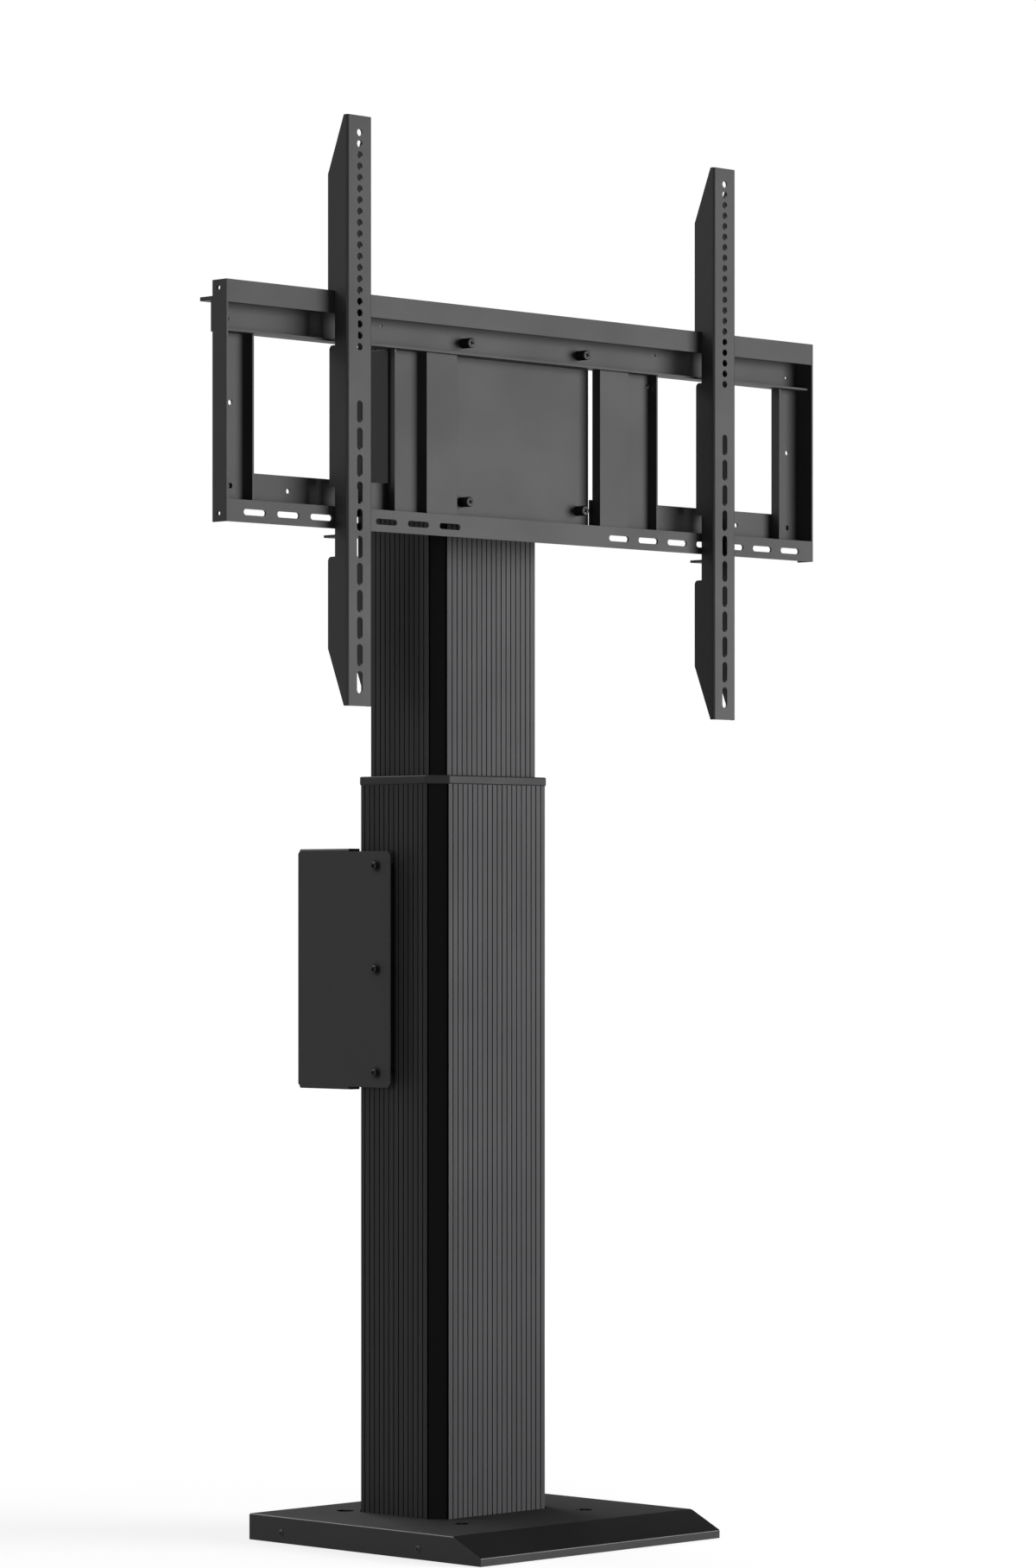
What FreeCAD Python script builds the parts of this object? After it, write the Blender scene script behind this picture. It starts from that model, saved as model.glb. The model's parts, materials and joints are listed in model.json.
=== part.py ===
import FreeCAD, Part

import math
import os

# Motorized display lift stand: a sheet-covered base, a ribbed telescopic column with a spindle drive,
# and a hanging frame with two hooked display rails.
# Millimetres. +Z is up, the front faces -Y, and the origin is the centre of the base's underside.

Vector = FreeCAD.Vector
along_x = Vector(1, 0, 0)
along_y = Vector(0, 1, 0)
along_z = Vector(0, 0, 1)
same_place = 1e-6

# Base
base_width = 393.0
base_depth = 380.0
base_height = 31.0
base_lip_height = 10.0
base_bevel_depth = 45.0
base_sheet = 2.0
base_bend_radius = 2.0
base_floor_gap = 0.5
base_plate_thickness = 16.0
base_plate_clearance = 1.0
anchor_side_offset = 4.5
anchor_front_offset = 41.5
anchor_back_offset = 3.5
anchor_hole_radius = 6.5
anchor_access_radius = 10.2
anchor_bush_wall = 3.0
cover_screw_front_y = -90.0
cover_screw_back_y = 136.0
cover_screw_z = 12.0
cover_screw_radius = 2.0
cover_screw_head_radius = 4.0
cover_screw_head_height = 1.2
cover_screw_length = 12.0

# Telescopic column
column_center_y = 52.0
outer_width = 194.0
outer_depth = 145.0
outer_chamfer = 18.0
outer_wall = 4.5
outer_top_z = 876.0
glide_gap = 5.0
glide_clearance = 0.3
inner_chamfer = 15.4
inner_wall = 4.0
column_overlap = 206.0
rib_pitch = 8.0
rib_end_blank = 6.0
groove_width = 1.4
groove_depth = 1.1
corner_step = 1.2
column_opening_clearance = 0.8
collar_height = 10.0
collar_overhang = 1.5
collar_clearance = 0.6
glide_height = 80.0
glide_top_drop = 6.0
glide_bottom_rise = 4.0
glide_width = 40.0
glide_spacing = 84.0
lift_stroke = 500.0

# Column foot and its fasteners
foot_thickness = 12.0
foot_clearance = 0.2
foot_bolt_spacing_x = 130.0
foot_bolt_spacing_y = 84.0
foot_bolt_radius = 5.0
foot_bolt_head_radius = 9.0
foot_bolt_head_height = 8.0
foot_bolt_head_recess = 1.0
side_screw_spacing = 70.0
side_screw_radius = 3.0
side_screw_head_radius = 5.5
side_screw_head_height = 3.5
side_screw_depth = 14.0
screw_clearance = 0.1

# Spindle drive
gear_housing_height = 36.0
gear_housing_radius = 36.0
motor_offset = 52.0
motor_radius = 28.0
motor_length = 76.0
motor_cap_radius = 25.0
motor_cap_height = 8.0
bearing_radius = 20.0
bearing_height = 12.0
spindle_radius = 10.0
spindle_fit = 0.08
spindle_seat_depth = 14.0
spindle_shoulder_radius = 14.0
spindle_shoulder_height = 4.0
spindle_axial_gap = 0.2
spindle_overrun = 40.0
nut_radius = 16.0
nut_length = 30.0
nut_flange_radius = 23.0
nut_flange_height = 8.0
nut_hole_clearance = 0.2
bottom_plate_thickness = 10.0
bottom_plate_inset = 1.0

# Control unit and its cover
control_cover_standoff = 20.0
control_cover_sheet = 2.0
control_cover_front_y = 36.0
control_cover_back_y = 190.0
control_cover_bottom_z = 526.0
control_cover_height = 273.0
control_cover_corner_radius = 6.0
control_cover_corner_cut = 2.0
control_fold_front_y = 104.7
control_fold_back_inset = 2.5
control_fold_reach = 18.0
control_fold_rise = 3.3
control_fold_return = 8.0
control_bend_radius = 2.5
control_screw_setback = 23.0
control_screw_margin = 17.0
control_screw_radius = 2.5
control_screw_head_radius = 4.5
control_screw_head_height = 4.6
control_spacer_radius = 6.0
control_unit_width = 150.0
control_unit_depth = 52.0
control_unit_height = 240.0
control_unit_left_x = -92.0
control_unit_radius = 5.0
control_lid_thickness = 6.0
inlet_width = 27.0
inlet_height = 20.0
inlet_depth = 9.0
inlet_recess = 6.5
inlet_wall = 1.5
inlet_pin_width = 4.0
inlet_pin_thickness = 2.0
inlet_pin_pitch = 7.0
inlet_pin_setback = 4.0

# Head bracket
head_half_width = 104.0
head_plate_thickness = 4.0
head_flange_depth = 29.0
head_bottom_rise = 10.0
head_cap_thickness = 5.0
head_cap_corner_cut = 16.0
head_plug_height = 20.0
head_plug_clearance = 0.2
head_bolt_radius = 4.0
head_bolt_head_radius = 6.5
head_bolt_head_height = 8.0
head_bolt_spacing_x = 110.0
head_bolt_spacing_y = 66.0
head_bolt_depth = 16.0

# Hanging frame
frame_width = 962.0
frame_bottom_z = 1154.0
frame_height = 264.0
frame_sheet = 2.5
frame_column_gap = 62.75
frame_band_height = 25.0
frame_flange_height = 24.6
frame_end_depth = 23.0
top_shelf_depth = 43.0
top_shelf_rise = 3.3
top_shelf_thickness = 4.4
top_web_drop = 31.0
top_lip_setback = 4.5
bottom_web_height = 32.0
bottom_web_end_inset = 11.0
bottom_web_plate_gap = 0.5
bottom_web_hole_spacing_x = 736.0
bottom_web_hole_rise = 15.2
post_front_setback = 10.2
end_post_width = 50.0
inner_post_lip_x = 117.5
inner_post_wall_x = 163.5
inner_post_outer_x = 216.3
stiffener_front_setback = 18.8
stiffener_depth = 50.0
stiffener_return = 21.5
centre_plate_half_width = 113.7
centre_plate_thickness = 3.0
slot_first_x = 139.0
slot_pitch = 50.0
slot_length = 33.0
slot_end_margin = 27.0
slot_width = 6.8
slot_rise = 11.3
web_hole_radius = 2.2
web_hole_end_inset = 23.0
web_pin_hole_radius = 1.5
web_pin_hole_spacing_x = 450.0
web_pin_hole_drop = 5.6
end_hole_radius = 2.5
end_hole_inset = 9.0
end_hole_setback = 13.0
end_web_hole_radius = 3.0
end_web_hole_inset = 25.8
end_web_hole_rise = 16.4
end_web_hole_spacing_z = 91.0
post_hole_radius = 2.5
post_hole_inset = 7.0
post_hole_drop = 12.0
frame_screw_spacing_x = 190.0
frame_screw_top_drop = 15.5
frame_screw_spacing_z = 181.0
frame_screw_radius = 4.0
frame_screw_head_radius = 5.8
frame_screw_head_height = 14.0
frame_screw_tail = 4.0

# Display rails
rail_spacing = 600.0
rail_bottom_z = 957.0
rail_length = 655.0
rail_width = 38.0
rail_depth = 31.4
rail_middle_depth = 29.2
rail_sheet = 2.5
rail_bend_radius = 3.0
rail_seat_depth = 20.5
rail_fit = 0.3
rail_taper_length = 64.0
rail_end_depth = 6.0
rail_hook_slot = 3.1
rail_hook_drop = 16.0
rail_top_notch_below = 4.5
rail_bottom_notch_above = 21.4
rail_bottom_notch_below = 31.0
rail_notch_corner_radius = 5.0
rail_hole_radius = 4.1
rail_hole_count = 20
rail_hole_pitch = 12.5
rail_hole_margin = 18.8
rail_slot_count = 11
rail_slot_pitch = 30.0
rail_slot_length = 25.0
rail_slot_radius = 4.25
rail_slot_margin = 26.5
lock_tab_sheet = 3.0
lock_tab_gap = 6.4
lock_tab_reach = 41.2
lock_tab_ear_sheet = 2.0
lock_tab_ear_height = 24.0
lock_tab_ear_depth = 14.0

# Places that follow from the sizes above
outer_bottom_z = base_plate_thickness
outer_front_y = column_center_y - outer_depth / 2
outer_back_y = column_center_y + outer_depth / 2
outer_left_x = -outer_width / 2
anchor_spacing_x = outer_width + 2 * anchor_side_offset
anchor_spacing_y = outer_depth + anchor_front_offset + anchor_back_offset
anchor_center_y = column_center_y + (anchor_back_offset - anchor_front_offset) / 2
inner_width = outer_width - 2 * (outer_wall + glide_gap)
inner_depth = outer_depth - 2 * (outer_wall + glide_gap)
inner_back_y = column_center_y + inner_depth / 2
inner_bottom_z = outer_top_z - column_overlap
frame_front_y = outer_front_y - frame_column_gap
frame_top_z = frame_bottom_z + frame_height
frame_half_width = frame_width / 2
slot_count = int((frame_half_width - slot_end_margin - slot_first_x) / slot_pitch) + 1
web_hole_spacing_x = frame_width - 2 * web_hole_end_inset
band_bottom_z = frame_top_z - frame_band_height
top_shelf_z = band_bottom_z + top_shelf_rise
web_y = frame_front_y + frame_end_depth
web_back_y = web_y + frame_sheet
top_web_bottom_z = band_bottom_z - top_web_drop
bottom_shelf_top_z = frame_bottom_z + frame_flange_height
bottom_web_top_z = bottom_shelf_top_z + bottom_web_height
post_front_y = frame_front_y + post_front_setback
end_post_inner_x = frame_half_width - end_post_width
centre_plate_y = web_back_y
head_front_y = centre_plate_y + centre_plate_thickness
head_cap_z = top_shelf_z - head_cap_thickness
inner_top_z = head_cap_z
frame_screw_top_z = band_bottom_z - frame_screw_top_drop
frame_screw_bottom_z = frame_screw_top_z - frame_screw_spacing_z
rail_face_y = frame_front_y - rail_seat_depth
rail_top_z = rail_bottom_z + rail_length
foot_top_z = base_plate_thickness + foot_thickness
gear_housing_top_z = foot_top_z + gear_housing_height
motor_top_z = gear_housing_top_z + motor_length
side_screw_z = base_plate_thickness + foot_thickness / 2
control_cover_x = outer_left_x - control_cover_standoff
control_cover_top_z = control_cover_bottom_z + control_cover_height
control_cover_middle_z = (control_cover_bottom_z + control_cover_top_z) / 2
control_screw_y = control_cover_front_y + control_screw_setback
control_unit_bottom_z = control_cover_middle_z - control_unit_height / 2


def box(x_low, x_high, y_low, y_high, z_low, z_high):
    """Return a box between two corners."""
    return Part.makeBox(x_high - x_low, y_high - y_low, z_high - z_low, Vector(x_low, y_low, z_low))


def near(first, second):
    """Return whether two coordinates are the same."""
    return abs(first - second) < same_place


def edges_along(axis, shape, accepts):
    """Return the straight edges of a shape along an axis whose first point is accepted."""
    chosen = []
    for edge in shape.Edges:
        start = edge.Vertexes[0].Point
        run = edge.Vertexes[-1].Point - start
        if run.Length > same_place and near(abs(run.dot(axis)), run.Length) and accepts(start):
            chosen.append(edge)
    return chosen


def prism_up(points, z_low, z_high):
    """Return a closed XY outline raised from z_low to z_high."""
    corners = [Vector(x, y, z_low) for x, y in points]
    face = Part.Face(Part.makePolygon(corners + corners[:1]))
    return face.extrude(Vector(0, 0, z_high - z_low))


def prism_across(points, x_low, x_high):
    """Return a closed YZ outline drawn from x_low to x_high."""
    corners = [Vector(x_low, y, z) for y, z in points]
    face = Part.Face(Part.makePolygon(corners + corners[:1]))
    return face.extrude(Vector(x_high - x_low, 0, 0))


def rod_x(radius, x_low, x_high, y, z):
    """Return a round rod along X."""
    return Part.makeCylinder(radius, x_high - x_low, Vector(x_low, y, z), Vector(1, 0, 0))


def rod_y(radius, y_low, y_high, x, z):
    """Return a round rod along Y."""
    return Part.makeCylinder(radius, y_high - y_low, Vector(x, y_low, z), Vector(0, 1, 0))


def rod_z(radius, z_low, z_high, x, y):
    """Return a round rod along Z."""
    return Part.makeCylinder(radius, z_high - z_low, Vector(x, y, z_low), Vector(0, 0, 1))


def slot_across(length, width, y_low, y_high, x, z):
    """Return a round-ended cutter through a wall that faces Y, long along X."""
    reach = (length - width) / 2
    middle = box(x - reach, x + reach, y_low, y_high, z - width / 2, z + width / 2)
    ends = [rod_y(width / 2, y_low, y_high, x + side * reach, z) for side in (-1, 1)]
    return middle.fuse(ends).removeSplitter()


def slot_upright(length, width, y_low, y_high, x, z):
    """Return a round-ended cutter through a wall that faces Y, long along Z."""
    reach = (length - width) / 2
    middle = box(x - width / 2, x + width / 2, y_low, y_high, z - reach, z + reach)
    ends = [rod_y(width / 2, y_low, y_high, x, z + side * reach) for side in (-1, 1)]
    return middle.fuse(ends).removeSplitter()


def mirrored(shape):
    """Return the shape reflected from the left half to the right half."""
    return shape.mirror(Vector(0, 0, 0), Vector(1, 0, 0))


def corner_points(spacing_x, spacing_y, center_y):
    """Return the four corners of a rectangle of holes."""
    return [(i * spacing_x / 2, center_y + j * spacing_y / 2) for i in (-1, 1) for j in (-1, 1)]


def chamfered_rectangle(width, depth, leg):
    """Return the outline of a rectangle on the column's centre with its corners cut at 45 degrees."""
    half_width = width / 2
    half_depth = depth / 2
    outline = [
        (-half_width + leg, -half_depth),
        (half_width - leg, -half_depth),
        (half_width, -half_depth + leg),
        (half_width, half_depth - leg),
        (half_width - leg, half_depth),
        (-half_width + leg, half_depth),
        (-half_width, half_depth - leg),
        (-half_width, -half_depth + leg),
    ]
    return [(x, column_center_y + y) for x, y in outline]


def ribbed_rectangle(width, depth, leg):
    """Return a column outline: grooved faces, with smooth corner strips set back by a small step."""
    half_width = width / 2
    half_depth = depth / 2
    faces = [
        ((-half_width + leg, -half_depth), (1, 0), (0, 1), width - 2 * leg),
        ((half_width, -half_depth + leg), (0, 1), (-1, 0), depth - 2 * leg),
        ((half_width - leg, half_depth), (-1, 0), (0, -1), width - 2 * leg),
        ((-half_width, half_depth - leg), (0, -1), (1, 0), depth - 2 * leg),
    ]
    outline = []
    for start, along, inward, length in faces:
        groove_count = int((length - 2 * rib_end_blank) / rib_pitch) + 1
        first = (length - (groove_count - 1) * rib_pitch) / 2
        path = [(0, corner_step), (0, 0)]
        for index in range(groove_count):
            near = first + index * rib_pitch - groove_width / 2
            far = near + groove_width
            path += [(near, 0), (near, groove_depth), (far, groove_depth), (far, 0)]
        path += [(length, 0), (length, corner_step)]
        for travel, sink in path:
            x = start[0] + travel * along[0] + sink * inward[0]
            y = start[1] + travel * along[1] + sink * inward[1]
            outline.append((x, column_center_y + y))
    return outline


def column_tube(width, depth, leg, wall, z_low, z_high):
    """Return a ribbed tube with a plain chamfered hollow."""
    hollow_leg = leg - wall * (2 - math.sqrt(2))
    hollow = chamfered_rectangle(width - 2 * wall, depth - 2 * wall, hollow_leg)
    solid = prism_up(ribbed_rectangle(width, depth, leg), z_low, z_high)
    return solid.cut(prism_up(hollow, z_low, z_high))


def tube_fill(width, depth, leg, wall, clearance, z_low, z_high):
    """Return a block that fills a column tube's hollow, less a clearance all round."""
    inset = wall + clearance
    fill_leg = leg - inset * (2 - math.sqrt(2))
    outline = chamfered_rectangle(width - 2 * inset, depth - 2 * inset, fill_leg)
    return prism_up(outline, z_low, z_high)


def bevel_outline(inset, low_z, high_z):
    """Return the base's side outline, inset all round and cut at low_z and high_z."""
    slope = (base_height - base_lip_height) / base_bevel_depth
    lift = inset * math.sqrt(1 + slope * slope)
    front_y = -base_depth / 2 + inset
    lip_z = base_lip_height + inset * slope - lift
    bevel_top_y = -base_depth / 2 + (high_z - base_lip_height + lift) / slope
    back_y = base_depth / 2 - inset
    return [(front_y, low_z), (front_y, lip_z), (bevel_top_y, high_z), (back_y, high_z), (back_y, low_z)]


def cover_screw_places():
    """Return the side and depth of each screw of the base cover."""
    return [(side, y) for side in (-1, 1) for y in (cover_screw_front_y, cover_screw_back_y)]


def base_cover():
    """Return the folded cover with its column opening, access holes and screw holes."""
    half_width = base_width / 2
    outer = prism_across(bevel_outline(0, base_floor_gap, base_height), -half_width, half_width)
    side_bends = edges_along(along_y, outer, lambda point: near(point.z, base_height))
    back_bend = edges_along(along_x, outer, lambda point: near(point.z, base_height) and point.y > 0)
    lip_bend = edges_along(along_x, outer, lambda point: near(point.z, base_lip_height))
    outer = outer.makeFillet(base_bend_radius, side_bends + back_bend + lip_bend)
    inner_half = half_width - base_sheet
    hollow = prism_across(bevel_outline(base_sheet, 0, base_height - base_sheet), -inner_half, inner_half)
    opening = prism_up(
        chamfered_rectangle(
            outer_width + 2 * column_opening_clearance,
            outer_depth + 2 * column_opening_clearance,
            outer_chamfer,
        ),
        0,
        base_height + 1,
    )
    holes = [
        rod_z(anchor_access_radius, 0, base_height + 1, x, y)
        for x, y in corner_points(anchor_spacing_x, anchor_spacing_y, anchor_center_y)
    ]
    hole_radius = cover_screw_radius + screw_clearance
    for side, y in cover_screw_places():
        middle = side * half_width
        holes.append(rod_x(hole_radius, middle - 2 * base_sheet, middle + 2 * base_sheet, y, cover_screw_z))
    return outer.cut(hollow).cut(opening).cut(holes)


def base_cover_screws():
    """Return the domed screws in the sides of the base cover."""
    screws = []
    half_width = base_width / 2
    for side, y in cover_screw_places():
        tip = half_width - cover_screw_length
        shank = rod_x(cover_screw_radius, tip, half_width, y, cover_screw_z)
        head = rod_x(cover_screw_head_radius, half_width, half_width + cover_screw_head_height, y, cover_screw_z)
        screw = shank.fuse(head)
        screws.append(screw if side > 0 else mirrored(screw))
    return Part.makeCompound(screws)


def base_plate():
    """Return the thick plate under the cover, with anchor holes and bolt seats."""
    inset = base_sheet + base_plate_clearance
    half_width = base_width / 2 - inset
    plate = prism_across(bevel_outline(inset, 0, base_plate_thickness), -half_width, half_width)
    cutters = [
        rod_z(anchor_hole_radius, 0, base_plate_thickness, x, y)
        for x, y in corner_points(anchor_spacing_x, anchor_spacing_y, anchor_center_y)
    ]
    seat_top = foot_bolt_head_recess + foot_bolt_head_height
    for x, y in corner_points(foot_bolt_spacing_x, foot_bolt_spacing_y, column_center_y):
        cutters.append(rod_z(foot_bolt_radius + screw_clearance, 0, base_plate_thickness, x, y))
        cutters.append(rod_z(foot_bolt_head_radius + screw_clearance, 0, seat_top, x, y))
    for side, y in cover_screw_places():
        depth = cover_screw_length + 1
        low = half_width - depth if side > 0 else -half_width
        cutters.append(rod_x(cover_screw_radius + screw_clearance, low, low + depth, y, cover_screw_z))
    return plate.cut(cutters)


def anchor_bushes():
    """Return the bushes that hold the cover up around the access holes."""
    top = base_height - base_sheet
    bushes = []
    for x, y in corner_points(anchor_spacing_x, anchor_spacing_y, anchor_center_y):
        outside = rod_z(anchor_access_radius + anchor_bush_wall, base_plate_thickness, top, x, y)
        bushes.append(outside.cut(rod_z(anchor_access_radius, base_plate_thickness, top, x, y)))
    return Part.makeCompound(bushes)


def side_screw_places():
    """Return the side and depth of each screw that holds the column to its foot."""
    offsets = (-side_screw_spacing / 2, side_screw_spacing / 2)
    return [(side, column_center_y + offset) for side in (-1, 1) for offset in offsets]


def column_foot():
    """Return the block inside the column's bottom end."""
    block = tube_fill(
        outer_width, outer_depth, outer_chamfer, outer_wall, foot_clearance, base_plate_thickness, foot_top_z
    )
    cutters = [
        rod_z(foot_bolt_radius + screw_clearance, base_plate_thickness, foot_top_z, x, y)
        for x, y in corner_points(foot_bolt_spacing_x, foot_bolt_spacing_y, column_center_y)
    ]
    reach = outer_width / 2
    for side, y in side_screw_places():
        low = reach - side_screw_depth - 1 if side > 0 else -reach
        high = low + side_screw_depth + 1
        cutters.append(rod_x(side_screw_radius + screw_clearance, low, high, y, side_screw_z))
    return block.cut(cutters)


def column_foot_bolts():
    """Return the bolts from below the base plate into the column foot."""
    bolts = []
    head_top = foot_bolt_head_recess + foot_bolt_head_height
    for x, y in corner_points(foot_bolt_spacing_x, foot_bolt_spacing_y, column_center_y):
        head = rod_z(foot_bolt_head_radius, foot_bolt_head_recess, head_top, x, y)
        bolts.append(head.fuse(rod_z(foot_bolt_radius, head_top, foot_top_z, x, y)))
    return Part.makeCompound(bolts)


def column_side_screws():
    """Return the screws through the column's sides into its foot."""
    screws = []
    face = outer_width / 2
    for side, y in side_screw_places():
        shank = rod_x(side_screw_radius, face - side_screw_depth, face, y, side_screw_z)
        head = rod_x(side_screw_head_radius, face, face + side_screw_head_height, y, side_screw_z)
        screw = shank.fuse(head)
        screws.append(screw if side > 0 else mirrored(screw))
    return Part.makeCompound(screws)


def control_screw_heights():
    """Return the heights of the three screws of the control cover."""
    low = control_cover_bottom_z + control_screw_margin
    high = control_cover_top_z - control_screw_margin
    return [low, (low + high) / 2, high]


def outer_column():
    """Return the fixed ribbed tube with its screw holes."""
    tube = column_tube(outer_width, outer_depth, outer_chamfer, outer_wall, outer_bottom_z, outer_top_z)
    cutters = []
    face = outer_width / 2
    for side, y in side_screw_places():
        low = face - 2 * outer_wall if side > 0 else -face
        high = low + 2 * outer_wall
        cutters.append(rod_x(side_screw_radius + screw_clearance, low, high, y, side_screw_z))
    for z in control_screw_heights():
        radius = control_screw_radius + screw_clearance
        cutters.append(rod_x(radius, -face, -face + 2 * outer_wall, control_screw_y, z))
    return tube.cut(cutters)


def outer_collar():
    """Return the collar that caps the gap between the two columns."""
    grow = 2 * collar_overhang
    outline = chamfered_rectangle(outer_width + grow, outer_depth + grow, outer_chamfer + corner_step)
    gap = 2 * collar_clearance
    hole = chamfered_rectangle(inner_width + gap, inner_depth + gap, inner_chamfer)
    top_z = outer_top_z + collar_height
    ring = prism_up(outline, outer_top_z, top_z)
    return ring.cut(prism_up(hole, outer_top_z, top_z))


def glide_pads(face_inset, z_low):
    """Return one set of glide pads, each face_inset behind the outer column's faces."""
    thickness = glide_gap - glide_clearance
    near_x = outer_width / 2 - face_inset
    near_y = outer_depth / 2 - face_inset
    z_high = z_low + glide_height
    half = glide_width / 2
    pads = []
    for side in (-1, 1):
        x_faces = sorted((side * near_x, side * (near_x - thickness)))
        y_faces = sorted((side * near_y, side * (near_y - thickness)))
        pads.append(box(x_faces[0], x_faces[1], column_center_y - half, column_center_y + half, z_low, z_high))
        for place in (-glide_spacing / 2, glide_spacing / 2):
            y_low = column_center_y + y_faces[0]
            y_high = column_center_y + y_faces[1]
            pads.append(box(place - half, place + half, y_low, y_high, z_low, z_high))
    return Part.makeCompound(pads)


def upper_glides():
    """Return the pads on the inside of the outer column, near its top."""
    return glide_pads(outer_wall, outer_top_z - glide_top_drop - glide_height)


def lower_glides():
    """Return the pads on the outside of the inner column, near its bottom."""
    return glide_pads(outer_wall + glide_clearance, inner_bottom_z + glide_bottom_rise)


def inner_column():
    """Return the moving ribbed tube."""
    return column_tube(inner_width, inner_depth, inner_chamfer, inner_wall, inner_bottom_z, inner_top_z)


def gear_housing():
    """Return the closed gear housing under the motor and the spindle."""
    spindle_end = rod_z(gear_housing_radius, foot_top_z, gear_housing_top_z, 0, column_center_y)
    motor_end = rod_z(gear_housing_radius, foot_top_z, gear_housing_top_z, motor_offset, column_center_y)
    low_y = column_center_y - gear_housing_radius
    high_y = column_center_y + gear_housing_radius
    middle = box(0, motor_offset, low_y, high_y, foot_top_z, gear_housing_top_z)
    body = middle.fuse([spindle_end, motor_end]).removeSplitter()
    seat_z = gear_housing_top_z - spindle_seat_depth
    return body.cut(rod_z(spindle_radius + spindle_fit, seat_z, gear_housing_top_z, 0, column_center_y))


def drive_motor():
    """Return the upright motor can."""
    return rod_z(motor_radius, gear_housing_top_z, motor_top_z, motor_offset, column_center_y)


def motor_end_cap():
    """Return the stepped cap on the motor."""
    return rod_z(motor_cap_radius, motor_top_z, motor_top_z + motor_cap_height, motor_offset, column_center_y)


def spindle_bearing():
    """Return the thrust bearing ring on the gear housing."""
    top = gear_housing_top_z + bearing_height
    ring = rod_z(bearing_radius, gear_housing_top_z, top, 0, column_center_y)
    return ring.cut(rod_z(spindle_radius + spindle_fit, gear_housing_top_z, top, 0, column_center_y))


def spindle():
    """Return the lift spindle with the shoulder that rests on its bearing."""
    bottom = gear_housing_top_z - spindle_seat_depth + spindle_axial_gap
    top = inner_bottom_z + spindle_overrun
    shoulder_z = gear_housing_top_z + bearing_height + spindle_axial_gap
    shaft = rod_z(spindle_radius, bottom, top, 0, column_center_y)
    shoulder_top = shoulder_z + spindle_shoulder_height
    return shaft.fuse(rod_z(spindle_shoulder_radius, shoulder_z, shoulder_top, 0, column_center_y))


def inner_column_bottom_plate():
    """Return the plate that closes the inner column and sits on the nut."""
    inset = 2 * bottom_plate_inset
    outline = chamfered_rectangle(inner_width - inset, inner_depth - inset, inner_chamfer)
    low = inner_bottom_z - bottom_plate_thickness
    plate = prism_up(outline, low, inner_bottom_z)
    return plate.cut(rod_z(nut_radius + nut_hole_clearance, low, inner_bottom_z, 0, column_center_y))


def spindle_nut():
    """Return the flanged nut that carries the inner column."""
    seat = inner_bottom_z - bottom_plate_thickness
    flange = rod_z(nut_flange_radius, seat - nut_flange_height, seat, 0, column_center_y)
    nut = flange.fuse(rod_z(nut_radius, seat, seat + nut_length, 0, column_center_y))
    bore = rod_z(spindle_radius + spindle_fit, seat - nut_flange_height, seat + nut_length, 0, column_center_y)
    return nut.cut(bore)


def control_fold(edge_z, outer_z):
    """Return the inward fold along the top or bottom edge of the control cover, with its return lip."""
    outside = control_cover_x - control_cover_sheet
    inside = outside + control_fold_reach
    fold_end = control_cover_back_y - control_fold_back_inset
    inner_z = outer_z + math.copysign(control_cover_sheet, edge_z - outer_z)
    lip_z = outer_z + math.copysign(control_fold_return, edge_z - outer_z)
    low, high = sorted((edge_z, outer_z))
    fold = box(outside, inside, control_fold_front_y, fold_end, low, high)
    bend = edges_along(along_y, fold, lambda point: near(point.x, outside) and near(point.z, outer_z))
    fold = fold.makeFillet(control_bend_radius, bend)
    low, high = sorted((edge_z, inner_z))
    fold = fold.cut(box(control_cover_x, inside, control_fold_front_y, fold_end, low, high))
    low, high = sorted((outer_z, lip_z))
    return fold.fuse(box(inside - control_cover_sheet, inside, control_fold_front_y, fold_end, low, high))


def control_cover():
    """Return the side plate that covers the control unit, with its top and bottom folds."""
    outside = control_cover_x - control_cover_sheet
    plate = box(
        outside, control_cover_x,
        control_cover_front_y, control_cover_back_y,
        control_cover_bottom_z, control_cover_top_z,
    )
    front = edges_along(along_x, plate, lambda point: near(point.y, control_cover_front_y))
    plate = plate.makeFillet(control_cover_corner_radius, front)
    back = edges_along(along_x, plate, lambda point: near(point.y, control_cover_back_y))
    plate = plate.makeChamfer(control_cover_corner_cut, back)
    folds = [
        control_fold(control_cover_bottom_z, control_cover_bottom_z - control_fold_rise),
        control_fold(control_cover_top_z, control_cover_top_z + control_fold_rise),
    ]
    holes = [
        rod_x(control_screw_radius + screw_clearance, outside, control_cover_x, control_screw_y, z)
        for z in control_screw_heights()
    ]
    return plate.fuse(folds).removeSplitter().cut(holes)


def control_cover_spacers():
    """Return the tubes that hold the control cover off the column."""
    spacers = []
    for z in control_screw_heights():
        tube = rod_x(control_spacer_radius, control_cover_x, outer_left_x, control_screw_y, z)
        hole = rod_x(control_screw_radius + screw_clearance, control_cover_x, outer_left_x, control_screw_y, z)
        spacers.append(tube.cut(hole))
    return Part.makeCompound(spacers)


def control_cover_screws():
    """Return the screws through the cover and spacers into the column wall."""
    screws = []
    seat = control_cover_x - control_cover_sheet
    for z in control_screw_heights():
        head = rod_x(control_screw_head_radius, seat - control_screw_head_height, seat, control_screw_y, z)
        shank = rod_x(control_screw_radius, seat, outer_left_x + outer_wall, control_screw_y, z)
        screws.append(head.fuse(shank))
    return Part.makeCompound(screws)


def rounded_box(x_low, x_high, y_low, y_high, z_low, z_high, radius):
    """Return a box whose edges along Y are rounded."""
    body = box(x_low, x_high, y_low, y_high, z_low, z_high)
    return body.makeFillet(radius, edges_along(along_y, body, lambda point: True))


def inlet_center():
    """Return the middle of the mains inlet on the underside of the control unit."""
    return (control_unit_left_x + control_unit_width / 2, outer_back_y + control_unit_depth / 2)


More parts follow.
